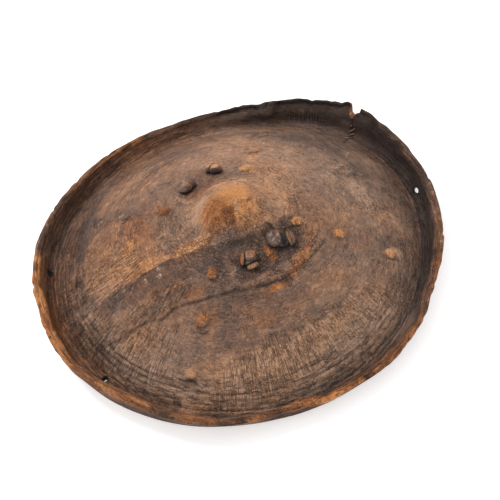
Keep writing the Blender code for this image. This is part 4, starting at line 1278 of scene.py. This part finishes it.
# %% Thin washes over all of it
WASHES = (     # x, y, half length, half width, turn, then lighter by and warmer by, in hundredths
    # the boss and round it
    (60, 0, 16, 26, 0, 22, 0), (6, 6, 12, 12, 0, 4, 12), (20, 35, 22, 12, 0, 16, 4),
    (0, 4, 10, 8, 0, 0, 26), (0, 35, 30, 16, 0, 0, 14), (0, 42, 30, 24, 0, 0, 16),
    (-10, 58, 16, 12, 0, -22, 16), (-35, 20, 14, 16, 0, 8, 0), (-20, 0, 16, 14, 0, -12, 10),
    (-28, -4, 12, 14, 0, -8, 30), (-28, -26, 12, 10, 0, 0, -24), (-30, -34, 16, 9, 30, 0, -24),
    (-15, -18, 14, 12, 0, 3, 30), (-18, -40, 16, 7, -10, -20, -28), (-2, -20, 6, 5, 30, 25, 20),
    (-5, -55, 26, 14, 0, 18, 6), (0, -18, 18, 9, 0, 0, 30), (8, -33, 20, 10, 8, 26, 16),
    (13, -49, 9, 5, 0, 24, 0), (25, -42, 9, 7, 0, 36, 0), (2, -2, 13, 12, 0, -8, 42),
    (46, -26, 14, 12, 0, 18, 0), (12, -4, 18, 15, 0, 16, 36), (30, -10, 16, 18, 0, 10, 10),
    # the far side
    (180, 120, 24, 24, 0, 15, -5), (180, 120, 30, 24, -30, 0, -8), (58, 57, 8, 8, 0, 46, 45),
    (124, 124, 26, 20, -45, -14, -6), (100, 170, 26, 16, -30, 13, -8), (108, 186, 24, 8, -30, 10, 0),
    (100, 180, 60, 14, -40, -12, -8), (100, 182, 20, 10, -30, 12, -8), (60, 130, 34, 26, 0, -7, 0),
    (24, 86, 16, 12, 0, 12, 20), (57, 212, 30, 8, -14, 12, 8), (20, 152, 40, 14, 0, -10, 0),
    (0, 80, 12, 10, 0, 0, 22), (0, 112, 24, 12, 0, -8, 0), (0, 162, 34, 26, 0, -12, 0),
    (-20, 215, 60, 12, 4, -12, 0), (-22, 86, 14, 9, 0, -12, 0), (-50, 186, 28, 12, 0, -14, 14),
    (-45, 152, 40, 14, 0, -10, 4), (-60, 150, 34, 18, 10, -12, 4), (-75, 178, 40, 14, 18, -14, 6),
    (-70, 118, 80, 28, 28, -16, 4), (-112, 142, 24, 18, 0, -14, 0), (-140, 170, 24, 15, 40, 14, 0),
    (-60, 68, 12, 10, 0, 0, 16), (-150, 150, 24, 22, 0, -5, 8), (-110, 110, 20, 14, 30, -12, 0),
    (-78, 78, 14, 12, 0, -14, 16), (-62, 60, 8, 8, 0, -20, 58),
    # the left
    (-170, 128, 14, 36, -46, 0, 20), (-100, 75, 14, 14, 0, -20, 12), (-178, 118, 15, 15, 0, 14, 0),
    (-150, 100, 22, 34, -30, -24, 0), (-95, 62, 12, 22, 0, -14, 8), (-118, 70, 26, 14, -30, -12, 10),
    (-88, 50, 16, 14, 0, -14, 18), (-172, 76, 13, 15, 0, -14, 0), (-115, 47, 12, 10, 0, -8, 25),
    (-80, 30, 16, 16, 0, -7, 5), (-190, 60, 16, 24, 0, 0, 12), (-208, 62, 8, 14, 0, 14, 10),
    (-150, 40, 22, 24, 0, -6, 0), (-135, 36, 16, 12, 0, 16, 8), (-104, 28, 12, 12, 0, -10, 20),
    (-74, 20, 14, 14, 0, 14, 0), (-130, 20, 16, 12, 0, 12, 8), (-185, 22, 8, 10, 0, 12, 0),
    (-202, 20, 14, 34, 0, 30, -10), (-218, 8, 8, 14, 0, -14, 0), (-132, 4, 18, 12, 0, 10, 16),
    (-118, 5, 24, 12, 0, -16, 8), (-204, 4, 14, 14, 0, 16, 6), (-186, 0, 9, 14, 0, 26, 18),
    (-104, -6, 26, 14, 0, 0, 16), (-146, -14, 20, 6, -8, -10, 0), (-130, -15, 30, 9, -8, 5, 16),
    (-66, -10, 22, 9, -16, -10, 12), (-196, -54, 12, 22, 10, 14, -20), (-120, -32, 20, 8, -14, 10, 20),
    (-170, -50, 16, 12, 0, 0, 16), (-70, -20, 16, 10, 0, 10, 22), (-150, -46, 20, 12, 0, -12, 4),
    (-196, -62, 9, 14, 0, 10, 0), (-170, -60, 24, 20, 0, 8, 0), (-95, -40, 12, 10, 0, 0, 16),
    (-60, -30, 30, 10, -15, 9, 10),
    # the near side
    (-84, -46, 10, 10, 0, -12, 0), (-180, -104, 12, 36, 30, 14, -18), (-94, -58, 22, 10, -20, -18, 4),
    (-150, -100, 22, 18, 0, 8, -15), (-160, -110, 50, 30, -40, 0, -12), (-168, -128, 14, 12, -50, 20, 0),
    (-105, -95, 12, 10, 0, 0, -20), (-100, -95, 16, 10, 0, -18, 16), (-156, -158, 14, 9, -45, 30, 10),
    (-150, -150, 16, 9, -45, 14, 0), (-141, -141, 14, 12, -45, -22, -10), (-100, -100, 14, 12, 0, 10, 20),
    (-67, -67, 14, 12, 0, -16, 0), (-98, -110, 24, 18, 0, -8, -8), (-118, -142, 16, 11, -20, -14, 0),
    (-120, -150, 30, 16, -25, 26, 6), (-118, -176, 18, 12, -35, 22, 0), (-42, -68, 9, 8, 0, 22, 0),
    (-100, -172, 22, 26, -30, 16, -8), (-55, -96, 16, 10, 0, -14, 0), (-100, -184, 38, 12, -28, 18, 0),
    (-60, -118, 40, 14, 0, 0, 8), (-88, -186, 16, 9, -25, 14, 0), (-60, -134, 24, 12, 0, 0, 14),
    (-60, -172, 44, 14, -4, 12, 0), (-60, -172, 44, 16, -4, 28, 6), (-60, -205, 60, 12, -6, 22, -4),
    (-57, -212, 34, 8, -6, -20, -20), (-48, -180, 26, 12, 0, 12, 0), (-20, -174, 20, 13, 0, 14, 0),
    (-2, -106, 12, 8, 0, -14, 0), (0, -208, 30, 10, 0, 14, -20), (0, -170, 28, 12, 0, 12, 4),
    (0, -126, 20, 8, 0, -10, 0), (0, -106, 16, 8, 0, 6, 16), (0, -102, 18, 9, 0, -16, 0),
    (0, -80, 10, 10, 0, 10, 16), (10, -180, 34, 14, 0, 18, -4), (40, -212, 20, 7, 10, 12, -4),
    (40, -195, 60, 16, 8, 0, -12), (36, -134, 20, 18, 0, 12, 8), (40, -152, 50, 14, 6, 12, -6),
    (50, -192, 32, 13, 14, 32, -18), (58, -172, 40, 12, 12, 12, -6), (60, -176, 18, 12, 12, 12, 0),
    (66, -176, 18, 11, 15, 12, -4), (60, -150, 40, 40, 0, 0, -6), (54, -130, 16, 12, 0, 0, 14),
    (90, -180, 24, 9, 25, 12, 0), (100, -190, 26, 14, 20, 40, -5), (108, -192, 22, 9, 30, -26, -20),
    (84, -130, 26, 18, 0, 4, -12), (150, -160, 24, 20, 0, -12, 0), (46, -46, 16, 12, -45, 16, 10),
    (114, -114, 14, 12, 0, 10, 0), (140, -141, 18, 12, 45, 18, -8), (57, -53, 7, 7, 0, 48, -10),
    (110, -100, 20, 16, 0, 0, 6), (142, -127, 8, 8, 0, 38, -4),
    # the right
    (160, 0, 44, 40, 0, 4, -10), (172, 2, 18, 10, 0, -10, 0), (214, 10, 10, 30, 0, 12, 0),
    (214, 20, 14, 34, 0, 8, -4), (170, 18, 14, 22, 0, 6, -4), (84, 14, 30, 26, 0, 16, 4),
    (204, 34, 14, 36, 10, 16, 0), (135, 36, 14, 14, 0, 12, 0), (195, 60, 20, 34, 0, -4, -8),
    (195, 70, 24, 40, -20, 0, -12), (150, 60, 26, 22, 0, 8, 0), (170, 98, 34, 26, -30, -12, -6),
    (160, -90, 18, 26, 0, 18, 4), (172, -66, 10, 12, 0, -10, 0), (164, -44, 16, 20, 0, 14, -8),
    (180, -40, 26, 34, 0, 16, -8), (150, -10, 50, 120, 0, 0, -10),
)
for wash in WASHES:
    paint.wash(*wash)
print(len(WASHES), "washes, mean tone", paint.tone.mean().round(3))

# %% Lighter foot and upper wall, and fine unevenness
for line, near, far, limit, lighter in ((arc(204, 196, 334, 30), 8, 24, WALL_FROM, 0.20),
                                        (arc(216, 24, 104, 20), 4, 18, 0.232, 0.10)):
    away, _, _ = from_line(paint.plan, line)
    paint.tone = paint.tone + lighter * (1 - smooth(away, near, far)) * (radius < limit)
upper_wall = inner_wall * smooth(turn, 50, 68) * (1 - smooth(turn, 94, 106))
paint.tone = paint.tone + 0.20 * upper_wall
paint.warm = paint.warm + 0.12 * upper_wall * smooth(turn, 76, 96)
paint.soot = paint.soot * (1 - 0.7 * upper_wall)
unburnt = 1 - burnt_side * (radius > WALL_FROM)
paint.warm = paint.warm + 0.08 * unburnt
paint.tone = paint.tone + 0.08 * unburnt * (1 - on_lip - outer).clip(0, 1)
for height, size, seed in ((0.08, 0.030, 60), (0.08, 0.013, 61), (0.06, 0.006, 62)):
    paint.tone = paint.tone + height * lumps(spots, size, seed)
for height, size, seed in ((0.10, 0.035, 63), (0.10, 0.012, 64)):
    paint.warm = paint.warm + height * lumps(spots, size, seed)
print("mean tone", paint.tone.mean().round(3), "mean warmth", paint.warm.mean().round(3))

# %% The plain back
paint.soot[behind] = 0.12 + 0.12 * lumps(spots, 0.05, 65)[behind]
paint.pale[behind] = 0
paint.tone[behind] = 0.42 + 0.16 * lumps(spots, 0.045, 66)[behind] + 0.10 * lumps(spots, 0.012, 67)[behind]
paint.warm[behind] = 0.22 + 0.15 * lumps(spots, 0.060, 68)[behind]
paint.store(hide)
print("tone", paint.tone.mean().round(3), "soot", paint.soot.mean().round(3))

# %% [markdown]
# ## The straps of the grip and their knots
#
# Each strap is a strip of hide that hangs behind the shield. Its ends are rolled, pulled through holes and
# folded into knots on the face. No two knots are alike: each is built from a few pads, pressed together and
# melted into one skin, with the folds of the real knot between them. A single rounded block would be
# simpler, but the folds are what makes a knot look tied.

# %% Measures of the straps and knots
STRAP_WIDTH, STRAP_THICK, STRAP_SAG, STRAP_TAPER = 0.0170, 0.0045, 0.0360, 0.22
KNOT_GAP = 0.0003
NECK_LIFTS = (0.0018, -0.0010, -0.0050)     # rings of a strap's round neck, above and below the face
# for each knot its turn, and its pads: middle (long, wide, up), half sizes, turn, lean, squareness
KNOTS = {
    "left": (
        (10, (
            ((-2.6, -0.2, 2.6), (8.6, 7.3, 6.2), 4, 0, 2.3),
            ((4.6, 0.6, 2.4), (7, 6.6, 5.6), -14, -8, 2.3), ((-8, 2.6, 1.4), (3.6, 4.4, 4), 20, 0, 2),
        )),
        (-21, (
            ((2.4, 3.6, 3.4), (6.9, 6.9, 5.6), -6, 8, 3), ((-6.6, 3, 2), (2.3, 8.2, 5.6), -14, -10, 2.4),
            ((3.2, -8.6, 2.2), (6.9, 3.1, 2.7), 12, 10, 4.5),
            ((0.6, -3.2, 1), (6.8, 3.4, 3.2), 0, 0, 2.2),
        )),
    ),
    "right": (
        (-35, (
            ((2.6, -0.8, 2.6), (7.8, 6, 6), 0, 4, 2.5), ((-6.2, 2.4, 2), (3.8, 5.8, 5.6), -22, 0, 2.3),
            ((7.4, 0.2, 1.8), (2.8, 4.4, 4.6), 0, 0, 2.4),
        )),
        (-29, (
            ((-7.6, 1.4, 1.8), (8.8, 10.6, 6.9), 10, 8, 2.9),
            ((10.4, 1.4, 3), (0.95, 10.2, 5.8), 13, -16, 4), ((13, 2.2, 1.6), (3, 8.8, 5), 15, -14, 2.5),
            ((3.6, 5.4, -0.6), (4.6, 6, 3), 14, 0, 2), ((1.6, -1.4, 0.2), (7.6, 7.6, 2), 0, 0, 3),
        )),
    ),
}
print("pads in the knots:", [len(knot[1]) for pair in KNOTS.values() for knot in pair])


# %% The shape of a pad
def pad(frame, middle, half, turn, lean, power, count=26):
    """A closed rounded pad, in a knot's frame of (point, long, wide, up). Sizes are in millimetres."""
    point, long, wide, up = frame
    turn, lean = math.radians(turn), math.radians(lean)
    first = long * math.cos(turn) + wide * math.sin(turn)
    second = wide * math.cos(turn) - long * math.sin(turn)
    first, third = first * math.cos(lean) + up * math.sin(lean), up * math.cos(lean) - first * math.sin(lean)
    centre = point + (long * middle[0] + wide * middle[1] + up * middle[2]) / 1000
    turns = math.tau * np.arange(count) / count

    def bent(value, share):
        return np.sign(value) * abs(value) ** share

    rings = []
    for level in np.linspace(-90, 90, count // 2 + 1)[1:-1]:
        level = math.radians(level)
        flat = bent(math.cos(level), 2 / power)
        ring = [centre + (first * half[0] * flat * bent(math.cos(t), 2 / power)
                          + second * half[1] * flat * bent(math.sin(t), 2 / power)
                          + third * half[2] * bent(math.sin(level), 2 / power)) / 1000 for t in turns]
        rings.append(ring)
    return loft(rings, (centre - third * half[2] / 1000, centre + third * half[2] / 1000))


def knot_frame(end, turn_degrees):
    """(point, long, wide, up) of a knot on the face."""
    spot, up = strap_end(end)
    turn = math.radians(turn_degrees)
    wide = unit(np.cross(up, (math.cos(turn), math.sin(turn), 0)))
    return spot, np.cross(wide, up), wide, up


print("a pad has", len(pad(knot_frame(STRAPS["left"][0], 10), *KNOTS["left"][0][1][0])[1]), "polygons")


# %% The shape of a strap
def strap_ring(centre, across, through, flatness, count=28):
    """Points round a strap: a round neck where flatness is 0, and a flat strap where it is 1."""
    wide = NECK_RADIUS + (STRAP_WIDTH / 2 - NECK_RADIUS) * flatness
    thick = NECK_RADIUS + (STRAP_THICK / 2 - NECK_RADIUS) * flatness
    power = 1 - flatness / 2
    turns = math.tau * np.arange(count) / count
    step, lift = (np.sign(f(turns)) * abs(f(turns)) ** power for f in (np.cos, np.sin))
    return centre + np.outer(wide * step, across) + np.outer(thick * lift, through)


def strap_shape(ends, steps=72):
    """A strap from inside one knot, through its hole, in an arch behind the hide, to the other knot."""
    across = strap_across(ends)
    (near, near_up), (far, far_up) = (strap_end(end) for end in ends)
    drop = STRAP_SAG * 4 / 3
    start, stop = near - near_up * (HIDE + NECK_RADIUS), far - far_up * (HIDE + NECK_RADIUS)
    handles = (start - near_up * drop, stop - far_up * drop)
    near_through, far_through = np.cross(near_up, across), np.cross(across, far_up)
    rings = [strap_ring(near + near_up * lift, across, near_through, 0.0) for lift in NECK_LIFTS]
    for share in np.linspace(0, 1, steps + 1):
        rest = 1 - share
        centre = (start * rest ** 3 + handles[0] * 3 * rest ** 2 * share
                  + handles[1] * 3 * rest * share ** 2 + stop * share ** 3)
        along = ((handles[0] - start) * rest ** 2 + (handles[1] - handles[0]) * 2 * rest * share
                 + (stop - handles[1]) * share ** 2)
        flatness = float(smooth(min(share, rest), 0.0, STRAP_TAPER))
        rings.append(strap_ring(centre, across, unit(np.cross(across, along)), flatness))
    rings += [strap_ring(far + far_up * lift, across, far_through, 0.0) for lift in NECK_LIFTS[::-1]]
    return rings, (near + near_up * 0.0022, far + far_up * 0.0022)


print("rings of a strap:", [len(strap_shape(ends)[0]) for ends in STRAPS.values()])

# %% One knot, laid on the hide
skin = BVHTree.FromPolygons([tuple(corner) for corner in spots_of(hide)],
                            [tuple(polygon.vertices) for polygon in hide.data.polygons])


def knot(name, end, turn_degrees, pads):
    """One knot: its pads melted together, softened, roughened, and laid on the hide."""
    frame_of = knot_frame(end, turn_degrees)
    spot, long, _, up = frame_of
    parts = [pad(frame_of, *shape) for shape in pads]
    parts.append(tube([spot - up * 0.0006, spot + up * 0.0040], long, NECK_RADIUS, 24))
    item = add_mesh(name, *join(parts))
    apply(item, "REMESH", mode="VOXEL", voxel_size=0.00045)
    apply(item, "SMOOTH", factor=0.5, iterations=3)
    corners = spots_of(item)
    rough = 0.00028 * lumps(corners, 0.0034, 71) + 0.00014 * lumps(corners, 0.0014, 72)
    corners += normals_of(item) * rough[:, None]
    for number, corner in enumerate(corners):
        offset = corner - spot
        if np.linalg.norm(offset - up * (offset @ up)) < NECK_RADIUS:
            continue
        hit, *_ = skin.ray_cast(tuple(corner + up * 0.012), tuple(-up), 0.03)
        if hit is not None:
            short = KNOT_GAP - (corner - np.array(hit)) @ up
            if short > 0:
                corners[number] = corner + up * short
    put_points(item, corners)
    item.data.update()
    return item


print("the hide's surface is ready for the knots, which stay", 1000 * KNOT_GAP, "mm off it")

# %% Build the two straps
straps = {}
for side, ends in STRAPS.items():
    rings, tips_of = strap_shape(ends)
    strap = add_mesh("grip_" + side, *loft(rings, tips_of))
    face_outward(strap)
    corners = spots_of(strap)
    frayed = 0.00035 * lumps(corners, 0.006, 73) + 0.0002 * lumps(corners, 0.0025, 74)
    corners += normals_of(strap) * frayed[:, None]
    put_points(strap, corners)
    knots = [knot(f"knot_{side}_{number}", end, *KNOTS[side][number]) for number, end in enumerate(ends)]
    for tied in knots:
        combine(strap, tied, "UNION")
    strap.data.shade_smooth()
    straps[side] = strap
    print(strap.name, len(strap.data.polygons), "polygons")

# %% [markdown]
# ## The thong that sews the split
#
# A thin thong runs in and out along the split and holds it shut. It is drawn along the same path as the
# channel that was cut for it, with a rounded section that swells and thins like a twisted strip of hide.

# %% The thong
thong_line = thong_path(26)
swell = 1.30 + 0.08 * lumps(thong_line, 0.004, 75) + 0.06 * lumps(thong_line, 0.0016, 76)
thong = add_mesh("thong", *tube(thong_line, stitch_line, THONG_RADIUS * swell, 14))
face_outward(thong)
corners = spots_of(thong)
corners += normals_of(thong) * (0.00016 * lumps(corners, 0.0011, 77))[:, None]
put_points(thong, corners)
print("thong:", len(thong.data.polygons), "polygons")

# %% [markdown]
# ## Colour of the knots and the thong
#
# The knots are shinier than the hide. Their tops are painted light, as wear from handling and as painted
# highlight, and their fronts, folds and feet are painted dark as shade.
# Each knot has dabs of its own, in its own directions, so that they stay in place if the knot is turned.

# %% Dabs on the knots
CAMERA_SIDE = np.array((-0.42, -0.91, 0.0))
# Light dabs on the tops are painted highlight as well as wear, and the black dabs in the slits and between
# the pads are painted shade; the last column is soot and painted shade.
KNOT_DABS = {     # for each knot: long, wide, half length, half width, turn, tone, warmth, soot
    ("left", 0): (
        (-8, 3.5, 5, 7, 0, 0.46, 0, 0.15), (-0.5, 0.5, 4.4, 8, 12, 0.44, 0.9, 0),
        (6.5, -1, 4.5, 7, 0, 0.18, 0.5, 0.3), (10.5, 1, 2.5, 6, 0, 0.05, 0.1, 0.8),
    ),
    ("left", 1): (
        (-7, 3, 2.4, 8, -14, 0.52, 0.95, 0), (3, 4.6, 6.2, 6.4, 0, 0.46, 0.85, 0),
        (1.5, 9.5, 5, 2.5, 0, 0.36, 0, 0.2), (1.6, -1, 6, 1.8, -6, 0.24, 0.2, 0.2),
        (3.2, -8.8, 6.4, 2.6, 12, 0.58, 0.8, 0), (0.5, -5.2, 8, 1.4, 8, 0, 0, 0.95),
        (-3.9, 3, 0.9, 8, -8, 0, 0, 0.95),
    ),
    ("right", 0): (
        (-6.6, 4, 3.6, 4.5, -20, 0.95, 0.6, 0), (2.6, 0.2, 7.4, 6, 0, 0.8, 0.95, 0),
        (2.6, -6.4, 8, 1.8, 0, 0.14, 0, 0.5), (-3.9, 0, 0.8, 6, -14, 0, 0, 0.95),
    ),
    ("right", 1): (
        (-8, 2, 9.6, 11.6, 0, 0.2, 0, 0.05), (-3.2, 6, 3.2, 5.5, 10, 0.4, 0.55, 0),
        (-9, -2.6, 2.2, 1.2, 40, 0.9, 0, 0), (-11, 4, 1.2, 3, 10, 0.5, 0.1, 0),
        (3.6, 0, 3.6, 13, 12, 0, 0, 0.98), (9.2, 3, 0.7, 10, 13, 0.8, 0.2, 0),
        (13, 3, 2.8, 8, 14, 0.38, 0.6, 0.1),
    ),
}
print(sum(len(dabs) for dabs in KNOT_DABS.values()), "dabs on", len(KNOT_DABS), "knots")

# %% Paint the straps and knots
for side, strap in straps.items():
    spots_on = spots_of(strap)
    brush = Paint(spots_on, 0.4, 44)
    toward = normals_of(strap) @ CAMERA_SIDE
    brush.tone[:] = 0.30 + 0.10 * lumps(spots_on, 0.012, 45) + 0.08 * lumps(spots_on, 0.004, 46)
    brush.warm[:] = 0.18 + 0.10 * lumps(spots_on, 0.020, 47)
    brush.soot[:] = 0.15 + 0.10 * lumps(spots_on, 0.010, 48)
    for number, end in enumerate(STRAPS[side]):
        spot, long, wide, up = knot_frame(end, KNOTS[side][number][0])
        offset = 1000 * (spots_on - spot)
        lift = offset @ up
        near = (np.linalg.norm(offset, axis=1) < 22) & (lift > -2)
        brush.plan = np.stack((offset @ long, offset @ wide), -1)
        facing_up = normals_of(strap) @ up
        brush.towards(near * 1.0, 0.24, 0.05)
        brush.soot = np.where(near, 0.10, brush.soot)
        for x, y, half_long, half_wide, turned_by, tone, warm, soot in KNOT_DABS[(side, number)]:
            mask = near * patch(brush.plan, x, y, half_long, half_wide, turned_by, 0.35)
            brush.towards(mask * 0.95, tone, warm)
            brush.soot = brush.soot + (soot - brush.soot) * mask
        # Faces turned to the front, away from the light, are painted dark as shade, and so is the foot of
        # each knot.
        brush.sooty(near * 0.60 * smooth(toward, 0.35, 0.85) * (1 - smooth(lift, 1.6, 3.8)))
        brush.sooty(near * 0.90 * (1 - smooth(lift, 0.8, 2.2)))
        # Faces turned up are painted pale as highlight.
        lightened = smooth(facing_up, 0.80, 0.97) * smooth(lumps(spots_on, 0.0022, 49), 0.15, 0.6)
        brush.make_pale(near * 0.40 * lightened)
    brush.crazed[:] = 0.3
    brush.store(strap)
    print(strap.name, "mean tone", brush.tone.mean().round(3))

# %% Paint the thong
brush = Paint(spots_of(thong), 0.3, 78)
# Faces turned up and to the front left are painted light as highlight, and the others dark as shade.
lit_side = normals_of(thong) @ np.array((-0.55, -0.35, 0.75))
brush.tone[:] = 0.06 + 0.34 * smooth(lit_side, 0.55, 0.98) + 0.20 * lumps(spots_of(thong), 0.002, 79)
brush.warm[:] = 0.02
brush.soot[:] = 0.20 + 0.45 * (1 - smooth(lit_side, 0.3, 0.8))
brush.store(thong)
print("thong mean tone", brush.tone.mean().round(3))

# %% [markdown]
# ## Materials
#
# A painted value alone looks smooth, and hide is grainy. So the material adds what is too fine to paint:
# blotches, pores, crackle and short scratches. They change the colour, the shine and, as a fine bump, the
# surface. The two small classes let the steps read like sums.

# %% A wire: a value in a material
class Wire:
    """A value on its way through a material, which can be added, subtracted, multiplied and divided."""

    def __init__(self, finish, socket):
        self.finish, self.socket = finish, socket

    def worked(self, kind, first, second):
        return self.finish.node("Math", {"operation": kind}, {0: first, 1: second})

    def __add__(self, other):
        return self.worked("ADD", self, other)

    def __sub__(self, other):
        return self.worked("SUBTRACT", self, other)

    def __rsub__(self, other):
        return self.worked("SUBTRACT", other, self)

    def __mul__(self, other):
        return self.worked("MULTIPLY", self, other)

    def __truediv__(self, other):
        return self.worked("DIVIDE", self, other)

    def __rtruediv__(self, other):
        return self.worked("DIVIDE", other, self)

    __radd__, __rmul__ = __add__, __mul__

    def size(self):
        return self.finish.node("Math", {"operation": "ABSOLUTE"}, {0: self})

    def between(self, low, high):
        """0 below low, 1 above high, and a smooth rise between."""
        kind = {"interpolation_type": "SMOOTHSTEP"}
        return self.finish.node("MapRange", kind, {"Value": self, "From Min": low, "From Max": high})

    def clipped(self):
        return self.finish.node("Math", {"operation": "ADD", "use_clamp": True}, {0: self, 1: 0.0})


print("a wire can", ", ".join(name for name in vars(Wire) if name.startswith("__r")))


# %% A finish: a material under construction
class Finish:
    """A material under construction."""

    def __init__(self, name):
        self.material = bpy.data.materials.new(name)
        self.material.use_nodes = True
        self.tree = self.material.node_tree
        self.surface = self.tree.nodes["Principled BSDF"]
        self.coords = self.node("TexCoord", {}, {}, "Object")

    def link(self, value, socket):
        if isinstance(value, Wire):
            self.tree.links.new(value.socket, socket)
        else:
            socket.default_value = value

    def node(self, kind, settings, inputs, output=0):
        """A new node with its settings and inputs. It gives the wire from one of its outputs."""
        made = self.tree.nodes.new("ShaderNode" + kind)
        for name, value in settings.items():
            setattr(made, name, value)
        for name, value in inputs.items():
            self.link(value, made.inputs[name])
        return Wire(self, made.outputs[output])

    def noise(self, size, detail=3.0, coords=None):
        """Cloudy values from 0 to 1 with features of about this size in metres."""
        inputs = {"Vector": coords or self.coords, "Scale": 1 / size, "Detail": detail}
        return self.node("TexNoise", {}, inputs)

    def mix(self, share, first, second):
        """A colour between two colours."""
        colours = {0: share, 6: (*first, 1) if isinstance(first, tuple) else first,
                   7: (*second, 1) if isinstance(second, tuple) else second}
        return self.node("Mix", {"data_type": "RGBA"}, colours, 2)

    def ramp(self, value, stops):
        """A colour that runs through stops of (value, colour)."""
        colour = stops[0][1]
        for (low, _), (high, after) in zip(stops, stops[1:]):
            colour = self.mix(((value - low) / (high - low)).clipped(), colour, after)
        return colour

    def bumped(self, height, distance):
        bump = self.node("Bump", {}, {"Height": height, "Distance": distance})
        self.link(bump, self.surface.inputs["Normal"])


print("a finish can give", ", ".join(name for name in vars(Finish) if not name.startswith("_")))

# %% Old hide: painted tones with blotches, pores, fibres, turned lines, rays and crazing
HIDE_TONES = ((0.0, (0.072, 0.043, 0.033)), (0.25, (0.114, 0.073, 0.056)), (0.5, (0.190, 0.117, 0.082)),
              (0.75, (0.270, 0.161, 0.107)), (1.0, (0.404, 0.248, 0.165)))
WARM_TONES = ((0.0, (0.085, 0.035, 0.014)), (0.5, (0.288, 0.098, 0.028)), (1.0, (0.620, 0.276, 0.098)))
SOOT_AND_SHADE, SCUFF_AND_HIGHLIGHT = (0.014, 0.0115, 0.011), (0.540, 0.385, 0.270)


def old_hide(name, rough, shine=0.2):
    """A material of old hide, as rough and as shiny as this."""
    finish = Finish(name)
    tone, warm, soot, pale, ringed, rayed, crazed = (
        finish.node("Attribute", {"attribute_name": layer}, {}, "Fac") for layer in LAYERS)
    blotch = finish.noise(0.0065, 3.0)
    speckle = finish.noise(0.0024, 3.0)
    grain = finish.noise(0.0012, 2.0)
    seen = finish.node("VectorMath", {"operation": "ADD"}, {0: finish.coords, 1: tuple(MIDDLE)})
    x, y, height = (finish.node("SeparateXYZ", {}, {0: seen}, axis) for axis in (0, 1, 2))
    reach = finish.node("Math", {"operation": "SQRT"}, {0: x * x + y * y}) + 0.001
    outward = reach + height * 0.8 + (blotch - 0.5) * 0.003

    def polar(around, across, drift=0.0):
        """Noise that is stretched round the boss or away from it."""
        inputs = {0: x / reach * around, 1: y / reach * around, 2: (outward * across + drift)}
        return finish.noise(1.0, 3.0, finish.node("CombineXYZ", {}, inputs))

    fibres, streaks = polar(24.0, 720.0), polar(13.0, 250.0, 3.0)
    ring_lines, ray_lines = polar(5.0, 440.0), polar(110.0, 90.0)
    bent = finish.node("VectorMath", {"operation": "MULTIPLY_ADD"},
                       {0: finish.node("TexNoise", {}, {"Vector": finish.coords, "Scale": 150.0}, "Color"),
                        1: (0.0040, 0.0040, 0.0040), 2: finish.coords})
    cells = finish.node("TexVoronoi", {"feature": "DISTANCE_TO_EDGE"}, {"Vector": bent, "Scale": 260.0})
    crazing = (1 - cells.between(0.02, 0.16)) * crazed * finish.noise(0.012, 2.0).between(0.40, 0.56)
    wrinkles = 1 - (finish.noise(0.0075, 2.0) - 0.5).size().between(0.003, 0.018)
    wrinkles = wrinkles * finish.noise(0.021, 2.0).between(0.46, 0.60)
    ring_cracks = (1 - (ring_lines - 0.5).size().between(0.006, 0.040)) * ringed
    ray_cracks = (1 - (ray_lines - 0.5).size().between(0.006, 0.045)) * rayed
    flecks = speckle.between(0.54, 0.68)
    cracks = (crazing * 0.7 + wrinkles * 0.6 + ring_cracks * 0.6 + ray_cracks * 0.9).clipped()
    tone = tone + (blotch - 0.5) * 0.40 + (speckle - 0.5) * 0.42 + (grain - 0.5) * 0.40
    tone = tone + (fibres - 0.5) * 0.75 + (streaks - 0.5) * 0.45
    tone = tone + (ring_lines - 0.5) * ringed * 0.7 + (ray_lines - 0.5) * rayed * 0.6
    tone = (tone + flecks * 0.06 - cracks * 0.38).clipped()
    warm = (warm * (0.45 + blotch * 0.7 + speckle * 0.5)).clipped()
    colour = finish.mix(warm, finish.ramp(tone, HIDE_TONES), finish.ramp(tone, WARM_TONES))
    # Pale marks show through in flecks: scuffs, and painted glints and highlights.
    colour = finish.mix((pale * (speckle.between(0.50, 0.60) * 1.2 + 0.2)).clipped(), colour, SCUFF_AND_HIGHLIGHT)
    colour = finish.mix((soot * (0.6 + speckle * 0.7) + cracks * 0.42).clipped(), colour, SOOT_AND_SHADE)
    finish.link(colour, finish.surface.inputs["Base Color"])
    finish.link((rough + (grain - 0.5) * 0.4 + soot * 0.25).clipped(), finish.surface.inputs["Roughness"])
    finish.surface.inputs["Specular IOR Level"].default_value = shine
    relief_lines = ring_lines * ringed * 0.8 + ray_lines * rayed * 0.8
    finish.bumped(speckle * 0.4 + blotch * 0.6 + fibres * 0.5 + relief_lines - cracks * 0.7, 0.0018)
    return finish.material


print("light hide has the colour", HIDE_TONES[-1][1])

# %% [markdown]
# ## Each piece on its solid
#
# The four objects take the places of the four solids, which are hidden. They all belong to the one rigid
# body, and each gets its material.

# %% Materials and places of the four pieces
PIECES = (     # object, its solid, its slot, its material
    (hide, "moulded_hide", "hide", old_hide("old_hide", 0.60)),
    (straps["left"], "grip_strap_left", "strap_leather", old_hide("knotted_hide", 0.45, 0.3)),
    (straps["right"], "grip_strap_right", "strap_leather", bpy.data.materials["knotted_hide"]),
    (thong, "repair_thong", "thong_leather", old_hide("thong_hide", 0.55)),
)
for item, solid_name, slot, material in PIECES:
    item.data.materials.clear()
    item.data.materials.append(material)
    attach(item, "root")
    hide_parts(solid_name)
print("materials:", [material.name for material in bpy.data.materials])

# %% [markdown]
